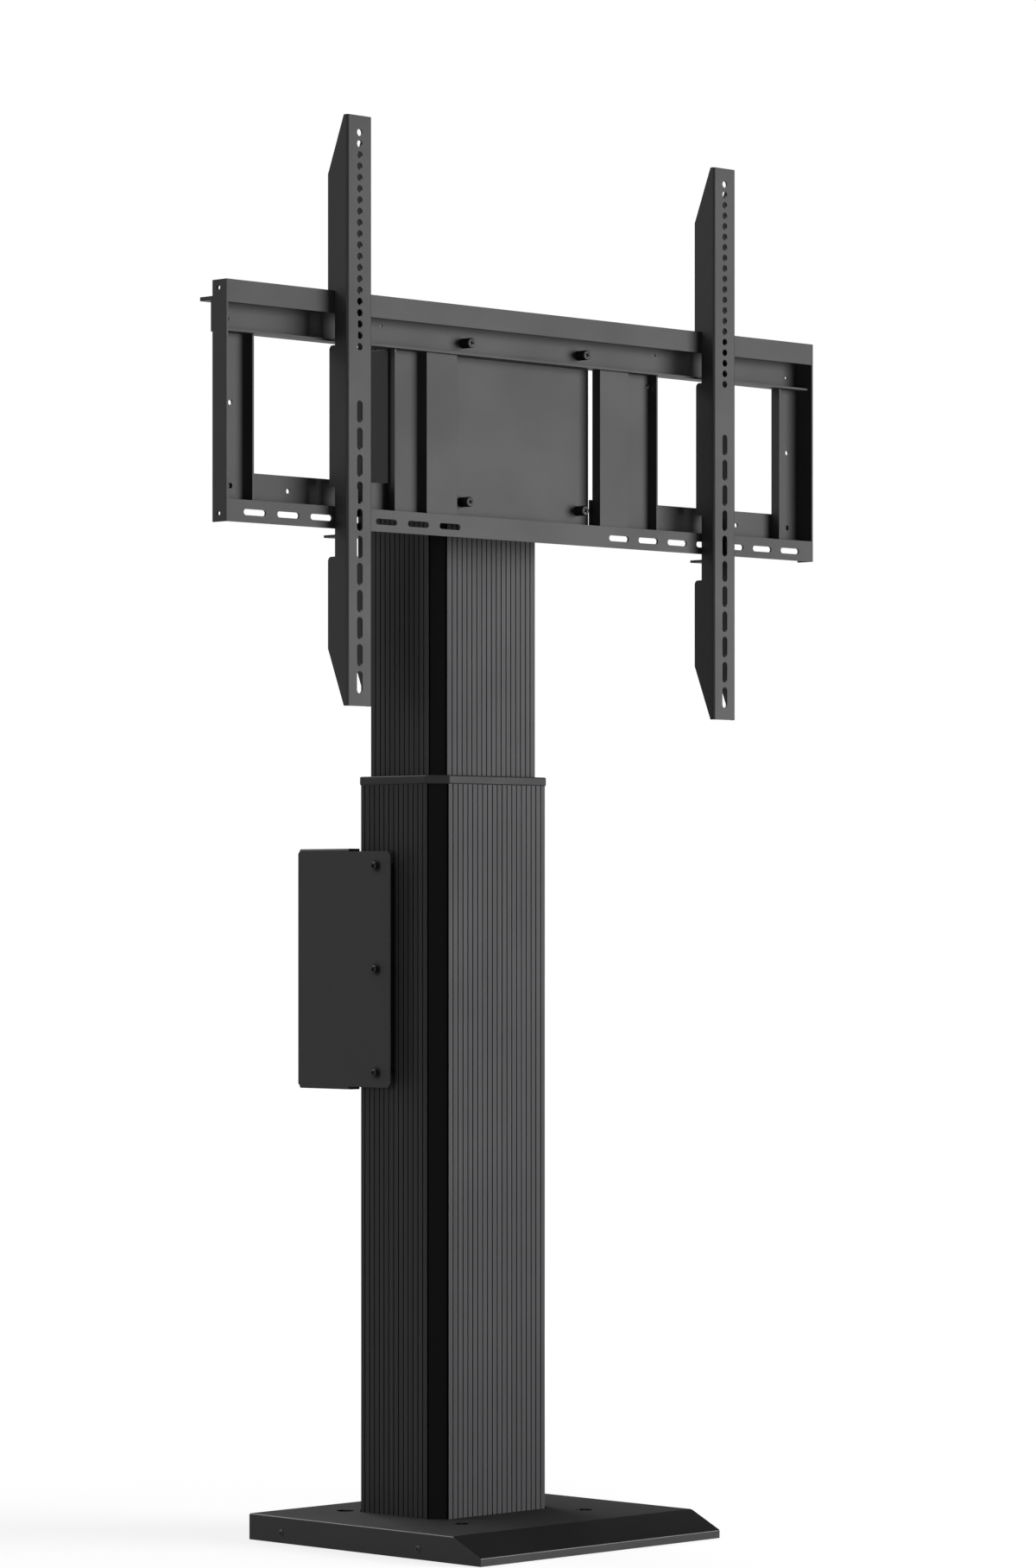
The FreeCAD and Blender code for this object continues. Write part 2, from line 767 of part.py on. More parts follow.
def control_unit():
    """Return the closed control unit on the back of the column, with a pocket for the inlet."""
    right = control_unit_left_x + control_unit_width
    top = control_unit_bottom_z + control_unit_height
    back = outer_back_y + control_unit_depth
    body = rounded_box(
        control_unit_left_x, right, outer_back_y, back, control_unit_bottom_z, top, control_unit_radius
    )
    x, y = inlet_center()
    half_width = inlet_width / 2
    half_height = inlet_height / 2
    pocket_top = control_unit_bottom_z + inlet_depth
    pocket = box(x - half_width, x + half_width, y - half_height, y + half_height, control_unit_bottom_z, pocket_top)
    return body.cut(pocket)


def control_unit_lid():
    """Return the lid on the back of the control unit."""
    right = control_unit_left_x + control_unit_width
    top = control_unit_bottom_z + control_unit_height
    seam = outer_back_y + control_unit_depth
    return rounded_box(
        control_unit_left_x, right, seam, seam + control_lid_thickness,
        control_unit_bottom_z, top, control_unit_radius,
    )


def mains_inlet():
    """Return the recessed inlet with its three flat pins."""
    x, y = inlet_center()
    half_width = inlet_width / 2
    half_height = inlet_height / 2
    low = control_unit_bottom_z
    body = box(x - half_width, x + half_width, y - half_height, y + half_height, low, low + inlet_depth)
    inside_x = half_width - inlet_wall
    inside_y = half_height - inlet_wall
    recess = box(x - inside_x, x + inside_x, y - inside_y, y + inside_y, low, low + inlet_recess)
    pins = []
    for step, setback in ((-1, 0), (0, inlet_pin_setback), (1, 0)):
        pin_x = x + step * inlet_pin_pitch
        pin_y = y - setback
        pins.append(
            box(
                pin_x - inlet_pin_thickness / 2, pin_x + inlet_pin_thickness / 2,
                pin_y - inlet_pin_width / 2, pin_y + inlet_pin_width / 2,
                low + inlet_wall, low + inlet_depth,
            )
        )
    return body.cut(recess).fuse(pins).removeSplitter()


def head_bolt_places():
    """Return the places of the bolts that hold the head cap to the inner column."""
    return corner_points(head_bolt_spacing_x, head_bolt_spacing_y, column_center_y)


def inner_column_top_plug():
    """Return the block inside the inner column's top end."""
    low = inner_top_z - head_plug_height
    plug = tube_fill(inner_width, inner_depth, inner_chamfer, inner_wall, head_plug_clearance, low, inner_top_z)
    radius = head_bolt_radius + screw_clearance
    depth_z = inner_top_z - head_bolt_depth
    return plug.cut([rod_z(radius, depth_z, inner_top_z, x, y) for x, y in head_bolt_places()])


def head_cap():
    """Return the plate on top of the inner column that carries the head bracket."""
    cut = head_cap_corner_cut
    half = head_half_width
    outline = [
        (-half, head_front_y + head_plate_thickness),
        (half, head_front_y + head_plate_thickness),
        (half, inner_back_y - cut),
        (half - cut, inner_back_y),
        (-half + cut, inner_back_y),
        (-half, inner_back_y - cut),
    ]
    plate = prism_up(outline, head_cap_z, top_shelf_z)
    radius = head_bolt_radius + screw_clearance
    return plate.cut([rod_z(radius, head_cap_z, top_shelf_z, x, y) for x, y in head_bolt_places()])


def head_cap_bolts():
    """Return the bolts through the head cap into the plug."""
    bolts = []
    for x, y in head_bolt_places():
        head = rod_z(head_bolt_head_radius, top_shelf_z, top_shelf_z + head_bolt_head_height, x, y)
        bolts.append(head.fuse(rod_z(head_bolt_radius, inner_top_z - head_bolt_depth, top_shelf_z, x, y)))
    return Part.makeCompound(bolts)


def frame_screw_places():
    """Return the across, height and seat depth of each frame screw."""
    places = []
    for x in (-frame_screw_spacing_x / 2, frame_screw_spacing_x / 2):
        places.append((x, frame_screw_top_z, web_y))
        places.append((x, frame_screw_bottom_z, centre_plate_y))
    return places


def frame_screw_holes():
    """Return cutters for the frame screws through every plate that they hold."""
    radius = frame_screw_radius + screw_clearance
    back = head_front_y + head_plate_thickness + frame_screw_tail
    return [rod_y(radius, frame_front_y, back, x, z) for x, z, seat in frame_screw_places()]


def head_bracket():
    """Return the channel that hangs from the head cap behind the frame."""
    low = bottom_shelf_top_z + head_bottom_rise
    half = head_half_width
    back = head_front_y + head_plate_thickness
    plate = box(-half, half, head_front_y, back, low, top_shelf_z)
    flange_back = head_front_y + head_flange_depth
    flange_inner = half - head_plate_thickness
    left = box(-half, -flange_inner, back, flange_back, low, head_cap_z)
    return plate.fuse([left, mirrored(left)]).removeSplitter().cut(frame_screw_holes())


def frame_top_rail():
    """Return the folded top rail: front band, long shelf, web and bottom lip, with its holes."""
    inside = frame_half_width - frame_sheet
    sheet = frame_sheet
    front = frame_front_y
    lip_front = front + top_lip_setback
    lip_top = top_web_bottom_z + sheet
    shelf_top = top_shelf_z + top_shelf_thickness
    band = box(-inside, inside, front, front + sheet, band_bottom_z, frame_top_z)
    shelf = box(-inside, inside, front, web_y, top_shelf_z, shelf_top)
    lip = box(-inside, inside, lip_front, web_y, top_web_bottom_z, lip_top)
    web = box(-frame_half_width, frame_half_width, web_y, web_back_y, top_web_bottom_z, shelf_top)
    shelf_back = front + top_shelf_depth
    ledge = box(-frame_half_width, frame_half_width, web_y, shelf_back, top_shelf_z, shelf_top)
    rail = band.fuse([shelf, lip, web, ledge]).removeSplitter()
    hole_z = (band_bottom_z + top_web_bottom_z) / 2
    cutters = frame_screw_holes()
    pin_hole_z = band_bottom_z - web_pin_hole_drop
    for side in (-1, 1):
        x = side * web_hole_spacing_x / 2
        pin_x = side * web_pin_hole_spacing_x / 2
        cutters.append(rod_y(web_hole_radius, web_y, web_back_y, x, hole_z))
        cutters.append(rod_y(web_pin_hole_radius, web_y, web_back_y, pin_x, pin_hole_z))
    return rail.cut(cutters)


def frame_bottom_rail():
    """Return the folded bottom rail: slotted front flange, shelf and upright webs beside the centre plate."""
    inside = frame_half_width - frame_sheet
    sheet = frame_sheet
    front = frame_front_y
    web_end = frame_half_width - bottom_web_end_inset
    web_start = centre_plate_half_width + bottom_web_plate_gap
    shelf_low = bottom_shelf_top_z - sheet
    flange = box(-inside, inside, front, front + sheet, frame_bottom_z, bottom_shelf_top_z)
    shelf = box(-inside, inside, front, web_y, shelf_low, bottom_shelf_top_z)
    ledge = box(-web_end, web_end, web_y, web_back_y, shelf_low, bottom_shelf_top_z)
    web = box(-web_end, -web_start, web_y, web_back_y, shelf_low, bottom_web_top_z)
    rail = flange.fuse([shelf, ledge, web, mirrored(web)]).removeSplitter()
    slot_z = frame_bottom_z + slot_rise
    hole_z = bottom_shelf_top_z + bottom_web_hole_rise
    cutters = []
    for side in (-1, 1):
        for index in range(slot_count):
            x = side * (slot_first_x + index * slot_pitch)
            cutters.append(slot_across(slot_length, slot_width, front, front + sheet, x, slot_z))
        hole_x = side * bottom_web_hole_spacing_x / 2
        cutters.append(rod_y(end_web_hole_radius, web_y, web_back_y, hole_x, hole_z))
    return rail.cut(cutters)


def frame_left_end_post():
    """Return the left end plate with the channel folded from it."""
    sheet = frame_sheet
    outside = -frame_half_width
    wall_right = -end_post_inner_x
    plate = box(outside, outside + sheet, frame_front_y, web_y, frame_bottom_z, frame_top_z)
    web = box(outside, wall_right, web_y - sheet, web_y, bottom_shelf_top_z, top_web_bottom_z)
    wall = box(wall_right - sheet, wall_right, post_front_y, web_y, bottom_shelf_top_z, top_web_bottom_z)
    post = plate.fuse([web, wall]).removeSplitter()
    cutters = []
    for z in (frame_bottom_z + end_hole_inset, frame_top_z - end_hole_inset):
        cutters.append(rod_x(end_hole_radius, outside, outside + sheet, frame_front_y + end_hole_setback, z))
    hole_x = wall_right - end_web_hole_inset
    low_z = bottom_shelf_top_z + end_web_hole_rise
    for z in (low_z, low_z + end_web_hole_spacing_z):
        cutters.append(rod_y(end_web_hole_radius, web_y - sheet, web_y, hole_x, z))
    return post.cut(cutters)


def frame_left_inner_post():
    """Return the folded left inner post between the bottom shelf and the top rail's lip."""
    sheet = frame_sheet
    web_front = web_y - sheet
    outline = [
        (inner_post_lip_x, post_front_y),
        (inner_post_wall_x + sheet, post_front_y),
        (inner_post_wall_x + sheet, web_front),
        (inner_post_outer_x - sheet, web_front),
        (inner_post_outer_x - sheet, post_front_y),
        (inner_post_outer_x, post_front_y),
        (inner_post_outer_x, web_y),
        (inner_post_wall_x, web_y),
        (inner_post_wall_x, post_front_y + sheet),
        (inner_post_lip_x + sheet, post_front_y + sheet),
        (inner_post_lip_x + sheet, web_y),
        (inner_post_lip_x, web_y),
    ]
    left_outline = [(-x, y) for x, y in outline]
    post = prism_up(left_outline, bottom_shelf_top_z, top_web_bottom_z)
    hole_x = -inner_post_outer_x + post_hole_inset
    hole_z = top_web_bottom_z - post_hole_drop
    return post.cut(rod_y(post_hole_radius, web_front, web_y, hole_x, hole_z))


def frame_left_stiffener():
    """Return the angle that backs the outer wall of the left inner post."""
    sheet = frame_sheet
    front = frame_front_y + stiffener_front_setback
    back = front + stiffener_depth
    outside = inner_post_outer_x + sheet
    outline = [
        (-outside, front),
        (-inner_post_outer_x, front),
        (-inner_post_outer_x, back - sheet),
        (-outside + stiffener_return, back - sheet),
        (-outside + stiffener_return, back),
        (-outside, back),
    ]
    return prism_up(outline, bottom_web_top_z, top_web_bottom_z)


def frame_centre_plate():
    """Return the plate between the inner posts that the frame screws clamp."""
    half = centre_plate_half_width
    back = centre_plate_y + centre_plate_thickness
    plate = box(-half, half, centre_plate_y, back, bottom_shelf_top_z, top_shelf_z)
    return plate.cut(frame_screw_holes())


def frame_screws():
    """Return the four screws with long round heads."""
    screws = []
    tail = head_front_y + head_plate_thickness + frame_screw_tail
    for x, z, seat in frame_screw_places():
        head = rod_y(frame_screw_head_radius, seat - frame_screw_head_height, seat, x, z)
        screws.append(head.fuse(rod_y(frame_screw_radius, seat, tail, x, z)))
    return Part.makeCompound(screws)


def rail_side_outline():
    """Return the side outline of a display rail, with its hook and notches, as depth and height."""
    notch = rail_seat_depth - rail_fit
    hook_front = notch + rail_hook_slot
    hook_top = frame_top_z + rail_fit
    hook_bottom = hook_top - rail_hook_drop
    top_notch_low = top_web_bottom_z - rail_top_notch_below
    low_notch_high = bottom_shelf_top_z + rail_bottom_notch_above
    low_notch_low = frame_bottom_z - rail_bottom_notch_below
    outline = [
        (0, rail_bottom_z),
        (rail_end_depth, rail_bottom_z),
        (rail_depth, rail_bottom_z + rail_taper_length),
        (rail_depth, low_notch_low),
        (notch, low_notch_low),
        (notch, low_notch_high),
        (rail_middle_depth, low_notch_high),
        (rail_middle_depth, top_notch_low),
        (notch, top_notch_low),
        (notch, hook_top),
        (hook_front, hook_top),
        (hook_front, hook_bottom),
        (rail_depth, hook_bottom),
        (rail_depth, rail_top_z - rail_taper_length),
        (rail_end_depth, rail_top_z),
        (0, rail_top_z),
    ]
    return [(rail_face_y + depth, z) for depth, z in outline]


def display_rail(center_x):
    """Return a display rail: a folded channel with hook notches, round holes and slots."""
    half = rail_width / 2
    back = rail_face_y + rail_depth
    channel = box(center_x - half, center_x + half, rail_face_y, back, rail_bottom_z, rail_top_z)
    bends = edges_along(along_z, channel, lambda point: near(point.y, rail_face_y))
    channel = channel.makeFillet(rail_bend_radius, bends)
    inside = half - rail_sheet
    hollow = box(
        center_x - inside, center_x + inside, rail_face_y + rail_sheet, back, rail_bottom_z, rail_top_z
    )
    side_shape = prism_across(rail_side_outline(), center_x - half, center_x + half)
    corners = [
        (rail_depth, frame_bottom_z - rail_bottom_notch_below),
        (rail_middle_depth, bottom_shelf_top_z + rail_bottom_notch_above),
        (rail_middle_depth, top_web_bottom_z - rail_top_notch_below),
    ]
    for depth, height in corners:
        y = rail_face_y + depth
        corner = edges_along(along_x, side_shape, lambda point: near(point.y, y) and near(point.z, height))
        side_shape = side_shape.makeFillet(rail_notch_corner_radius, corner)
    channel = channel.cut(hollow).common(side_shape)
    wall_back = rail_face_y + rail_sheet
    first_hole_z = rail_top_z - rail_hole_margin
    first_slot_z = rail_bottom_z + rail_slot_margin
    cutters = [
        rod_y(rail_hole_radius, rail_face_y, wall_back, center_x, first_hole_z - index * rail_hole_pitch)
        for index in range(rail_hole_count)
    ]
    for index in range(rail_slot_count):
        z = first_slot_z + index * rail_slot_pitch
        cutters.append(slot_upright(rail_slot_length, 2 * rail_slot_radius, rail_face_y, wall_back, center_x, z))
    return channel.cut(cutters)


def lock_tab(center_x):
    """Return the bracket inside a rail whose tongue keeps the rail from lifting off the frame."""
    half = rail_width / 2 - rail_sheet
    top = frame_bottom_z - lock_tab_gap
    low = top - lock_tab_sheet
    front = rail_face_y + rail_sheet
    tongue = box(center_x - half, center_x + half, front, rail_face_y + lock_tab_reach, low, top)
    ears = []
    for edge in (center_x - half, center_x + half - lock_tab_ear_sheet):
        ears.append(
            box(edge, edge + lock_tab_ear_sheet, front, front + lock_tab_ear_depth, low, low + lock_tab_ear_height)
        )
    return tongue.fuse(ears).removeSplitter()


def parts():
    """Return every named piece of the stand."""
    left_end_post = frame_left_end_post()
    left_inner_post = frame_left_inner_post()
    left_stiffener = frame_left_stiffener()
    rail_x = rail_spacing / 2
    return {
        "base_plate": base_plate(),
        "base_cover": base_cover(),
        "base_cover_screws": base_cover_screws(),
        "anchor_bushes": anchor_bushes(),
        "column_foot": column_foot(),
        "column_foot_bolts": column_foot_bolts(),
        "column_side_screws": column_side_screws(),
        "outer_column": outer_column(),
        "outer_collar": outer_collar(),
        "upper_glides": upper_glides(),
        "gear_housing": gear_housing(),
        "drive_motor": drive_motor(),
        "motor_end_cap": motor_end_cap(),
        "spindle_bearing": spindle_bearing(),
        "control_cover": control_cover(),
        "control_cover_spacers": control_cover_spacers(),
        "control_cover_screws": control_cover_screws(),
        "control_unit": control_unit(),
        "control_unit_lid": control_unit_lid(),
        "mains_inlet": mains_inlet(),
        "spindle": spindle(),
        "inner_column": inner_column(),
        "lower_glides": lower_glides(),
        "inner_column_bottom_plate": inner_column_bottom_plate(),
        "spindle_nut": spindle_nut(),
        "inner_column_top_plug": inner_column_top_plug(),
        "head_cap": head_cap(),
        "head_cap_bolts": head_cap_bolts(),
        "head_bracket": head_bracket(),
        "frame_top_rail": frame_top_rail(),
        "frame_bottom_rail": frame_bottom_rail(),
        "frame_left_end_post": left_end_post,
        "frame_right_end_post": mirrored(left_end_post),
        "frame_left_inner_post": left_inner_post,
        "frame_right_inner_post": mirrored(left_inner_post),
        "frame_left_stiffener": left_stiffener,
        "frame_right_stiffener": mirrored(left_stiffener),
        "frame_centre_plate": frame_centre_plate(),
        "frame_screws": frame_screws(),
        "left_rail": display_rail(-rail_x),
        "left_lock_tab": lock_tab(-rail_x),
        "right_rail": display_rail(rail_x),
        "right_lock_tab": lock_tab(rail_x),
    }


os.makedirs("parts", exist_ok=True)
for name, shape in parts().items():
    shape.exportStep(os.path.join("parts", name + ".step"))
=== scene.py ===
"""Motorized display lift stand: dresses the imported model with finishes, softened edges and fasteners."""

import json
import logging
import math
from dataclasses import dataclass, replace
from enum import Enum

import bmesh
import bpy
from mathutils import Matrix, Vector


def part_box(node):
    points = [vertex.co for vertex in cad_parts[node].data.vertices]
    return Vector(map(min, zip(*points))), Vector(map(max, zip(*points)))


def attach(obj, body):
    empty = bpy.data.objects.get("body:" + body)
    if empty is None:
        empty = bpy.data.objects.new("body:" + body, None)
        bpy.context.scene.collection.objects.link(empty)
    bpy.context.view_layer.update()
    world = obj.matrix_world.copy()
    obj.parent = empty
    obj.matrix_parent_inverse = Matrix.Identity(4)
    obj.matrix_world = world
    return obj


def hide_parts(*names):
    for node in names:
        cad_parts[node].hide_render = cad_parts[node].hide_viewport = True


LOG = logging.getLogger("lift_stand")
MM = 0.001
SEED = 7

# The parts of a noise's range that ramps spread out, and the plain ramps up and down.
WIDE = (0.3, 0.7)
NARROW = (0.35, 0.65)
WHOLE = (0.0, 1.0)
FADE = (1.0, 0.0)

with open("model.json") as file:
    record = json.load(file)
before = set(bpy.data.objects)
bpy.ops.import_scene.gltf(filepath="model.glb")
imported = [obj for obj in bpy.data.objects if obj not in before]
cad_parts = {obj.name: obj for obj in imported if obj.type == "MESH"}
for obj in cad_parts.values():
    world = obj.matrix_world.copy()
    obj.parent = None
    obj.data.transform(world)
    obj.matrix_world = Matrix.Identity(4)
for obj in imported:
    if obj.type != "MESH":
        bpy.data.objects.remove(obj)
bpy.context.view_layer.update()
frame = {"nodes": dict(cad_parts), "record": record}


class Body(Enum):
    """The moving bodies of the stand."""

    STAND = "stand"
    SPINDLE = "spindle"
    LIFT = "lift"
    LEFT_RAIL = "left_rail"
    RIGHT_RAIL = "right_rail"


class Recess(Enum):
    """The shapes of drive recess in a screw head."""

    CROSS = "cross"
    HEX = "hex"


class Facing(Enum):
    """The ways a screw head can face, as the turn that brings +Z there."""

    LEFT = (0.0, -math.pi / 2, 0.0)
    RIGHT = (0.0, math.pi / 2, 0.0)
    FRONT = (math.pi / 2, 0.0, 0.0)
    UP = (0.0, 0.0, 0.0)


def metres(pair: tuple[float, float]) -> tuple[float, float]:
    """Return two lengths given in millimetres as metres."""
    return pair[0] * MM, pair[1] * MM


class NodeSketch:
    """A small helper that lays out the nodes of one tree."""

    def __init__(self, tree: bpy.types.NodeTree) -> None:
        """Keep the tree to add to.

        Args:
            tree: the node tree.
        """
        self.tree = tree

    def add(self, kind: str, **settings: object) -> bpy.types.Node:
        """Add a node and set its properties.

        Args:
            kind: the node's type name.
            settings: properties to set on it.

        Returns:
            The new node.
        """
        node = self.tree.nodes.new(kind)
        for name, value in settings.items():
            setattr(node, name, value)
        return node

    def join(self, source: bpy.types.NodeSocket, target: bpy.types.NodeSocket) -> None:
        """Link an output socket to an input socket.

        Args:
            source: the output.
            target: the input.
        """
        self.tree.links.new(source, target)

    def math(self, operation: str, first: object, second: object = 0.0) -> bpy.types.NodeSocket:
        """Add a math node.

        Args:
            operation: the math node's operation.
            first: a socket or a number.
            second: a socket or a number.

        Returns:
            The result socket.
        """
        node = self.add("ShaderNodeMath", operation=operation)
        for value, target in ((first, node.inputs[0]), (second, node.inputs[1])):
            if isinstance(value, bpy.types.NodeSocket):
                self.join(value, target)
            else:
                target.default_value = value
        return node.outputs[0]

    def ramp(
        self, source: bpy.types.NodeSocket, span: tuple[float, float], out: tuple[float, float] = WHOLE
    ) -> bpy.types.NodeSocket:
        """Map a value smoothly from one range to another.

        Args:
            source: the value.
            span: the two ends of the source range.
            out: the two ends of the result.

        Returns:
            The mapped value.
        """
        node = self.add("ShaderNodeMapRange", interpolation_type="SMOOTHSTEP")
        self.join(source, node.inputs["Value"])
        node.inputs["From Min"].default_value = span[0]
        node.inputs["From Max"].default_value = span[1]
        node.inputs["To Min"].default_value = out[0]
        node.inputs["To Max"].default_value = out[1]
        return node.outputs["Result"]

    def split(self, vector: bpy.types.NodeSocket) -> bpy.types.Node:
        """Separate a vector.

        Args:
            vector: the vector.

        Returns:
            The node, with the outputs X, Y and Z.
        """
        node = self.add("ShaderNodeSeparateXYZ")
        self.join(vector, node.inputs[0])
        return node

    def noise(self, place: bpy.types.NodeSocket, scale: float, detail: float = 2.0) -> bpy.types.NodeSocket:
        """Add a noise texture.

        Args:
            place: the coordinates to read.
            scale: the noise scale.
            detail: the noise detail.

        Returns:
            The noise value.
        """
        node = self.add("ShaderNodeTexNoise")
        self.join(place, node.inputs["Vector"])
        node.inputs["Scale"].default_value = scale
        node.inputs["Detail"].default_value = detail
        return node.outputs[0]

    def stretched(
        self, place: bpy.types.NodeSocket, scale: tuple[float, float, float]
    ) -> bpy.types.NodeSocket:
        """Scale coordinates unevenly.

        Args:
            place: the coordinates.
            scale: the scale along each axis.

        Returns:
            The scaled coordinates.
        """
        node = self.add("ShaderNodeMapping")
        self.join(place, node.inputs["Vector"])
        node.inputs["Scale"].default_value = scale
        return node.outputs["Vector"]

    def mix(self, factor: bpy.types.NodeSocket, first: object, second: object) -> bpy.types.NodeSocket:
        """Mix two colours.

        Args:
            factor: the share of the second colour.
            first: a colour or a colour socket.
            second: a colour or a colour socket.

        Returns:
            The mixed colour.
        """
        node = self.add("ShaderNodeMix", data_type="RGBA")
        self.join(factor, node.inputs[0])
        for value, target in ((first, node.inputs[6]), (second, node.inputs[7])):
            if isinstance(value, bpy.types.NodeSocket):
                self.join(value, target)
            else:
                target.default_value = (*value, 1.0)
        return node.outputs[2]

    def bump(self, height: bpy.types.NodeSocket, strength: float, distance: float) -> bpy.types.NodeSocket:
        """Turn a height into a surface normal.

        Args:
            height: the height value.
            strength: how much of the bump shows.
            distance: the bump's depth in metres.

        Returns:
            The bumped normal.
        """
        node = self.add("ShaderNodeBump")
        node.inputs["Strength"].default_value = strength
        node.inputs["Distance"].default_value = distance
        self.join(height, node.inputs["Height"])
        return node.outputs["Normal"]

    def sockets(self, direction: str, kinds: dict[str, str]) -> None:
        """Add named sockets to the tree's interface.

        Args:
            direction: INPUT or OUTPUT.
            kinds: the socket type of each name.
        """
        for name, kind in kinds.items():
            self.tree.interface.new_socket(name, in_out=direction, socket_type="NodeSocket" + kind)

    def identifiers(self) -> dict[str, str]:
        """Return the identifier of each named input of the tree."""
        items = self.tree.interface.items_tree
        return {item.name: item.identifier for item in items if item.in_out == "INPUT"}


@dataclass(frozen=True)
class Finish:
    """A surface finish: its name, its two close colours and its gloss."""

    name: str
    dark: tuple[float, float, float]
    light: tuple[float, float, float]
    roughness: tuple[float, float]
    metallic: float = 0.0
    specular: float = 0.4

    def material(self) -> bpy.types.Material:
        """Return the finish's material, made on first use."""
        known = bpy.data.materials.get(self.name)
        if known is not None:
            return known
        material = bpy.data.materials.new(self.name)
        material.use_nodes = True
        sketch = NodeSketch(material.node_tree)
        shader = material.node_tree.nodes["Principled BSDF"]
        shader.inputs["Metallic"].default_value = self.metallic
        shader.inputs["Specular IOR Level"].default_value = self.specular
        place = sketch.add("ShaderNodeTexCoord")
        self.draw(sketch, shader, place)
        return material

    def draw(self, sketch: NodeSketch, shader: bpy.types.Node, place: bpy.types.Node) -> None:
        """Lay out the finish's own pattern.

        Args:
            sketch: the tree to draw in.
            shader: the surface shader.
            place: the texture coordinates.
        """
        raise NotImplementedError(self.name)


@dataclass(frozen=True)
class PowderCoat(Finish):
    """Satin powder coat on sheet metal, with fine orange peel and slight rub marks."""

    grain: float = 1500.0
    peel: float = 0.18
    peel_depth: float = 0.3
    cloud_scale: float = 9.0
    rub_scale: tuple[float, float, float] = (60.0, 60.0, 14.0)
    worn_span: tuple[float, float] = (0.62, 0.8)
    worn_share: float = 0.12
    worn_lift: float = 1.35
    top_span: tuple[float, float] = (0.85, 0.97)
    top_extra: float = 0.0

    def gloss(
        self, sketch: NodeSketch, place: bpy.types.Node, cloud: bpy.types.NodeSocket
    ) -> bpy.types.NodeSocket:
        """Return the roughness, which is greater by the coat's own extra on faces that look up.

        Args:
            sketch: the tree to draw in.
            place: the texture coordinates.
            cloud: the cloudy noise.

        Returns:
            The roughness.
        """
        upward = sketch.split(place.outputs["Normal"]).outputs["Z"]
        extra = sketch.ramp(upward, self.top_span, (0.0, self.top_extra))
        return sketch.math("ADD", sketch.ramp(cloud, WIDE, self.roughness), extra)

    def draw(self, sketch: NodeSketch, shader: bpy.types.Node, place: bpy.types.Node) -> None:
        """Draw the coat's peel, cloudy gloss and rubbed patches.

        Args:
            sketch: the tree to draw in.
            shader: the surface shader.
            place: the texture coordinates.
        """
        spot = place.outputs["Object"]
        cloud = sketch.noise(spot, self.cloud_scale, detail=4.0)
        peel = sketch.noise(spot, self.grain)
        rub = sketch.noise(sketch.stretched(spot, self.rub_scale), 1.0, detail=5.0)
        worn = sketch.ramp(rub, self.worn_span, (0.0, self.worn_share))
        colour = sketch.mix(sketch.ramp(cloud, NARROW), self.dark, self.light)
        lighter = tuple(self.worn_lift * channel for channel in self.light)
        sketch.join(sketch.mix(worn, colour, lighter), shader.inputs["Base Color"])
        sketch.join(self.gloss(sketch, place, cloud), shader.inputs["Roughness"])
        sketch.join(sketch.bump(peel, self.peel, self.peel_depth * MM), shader.inputs["Normal"])


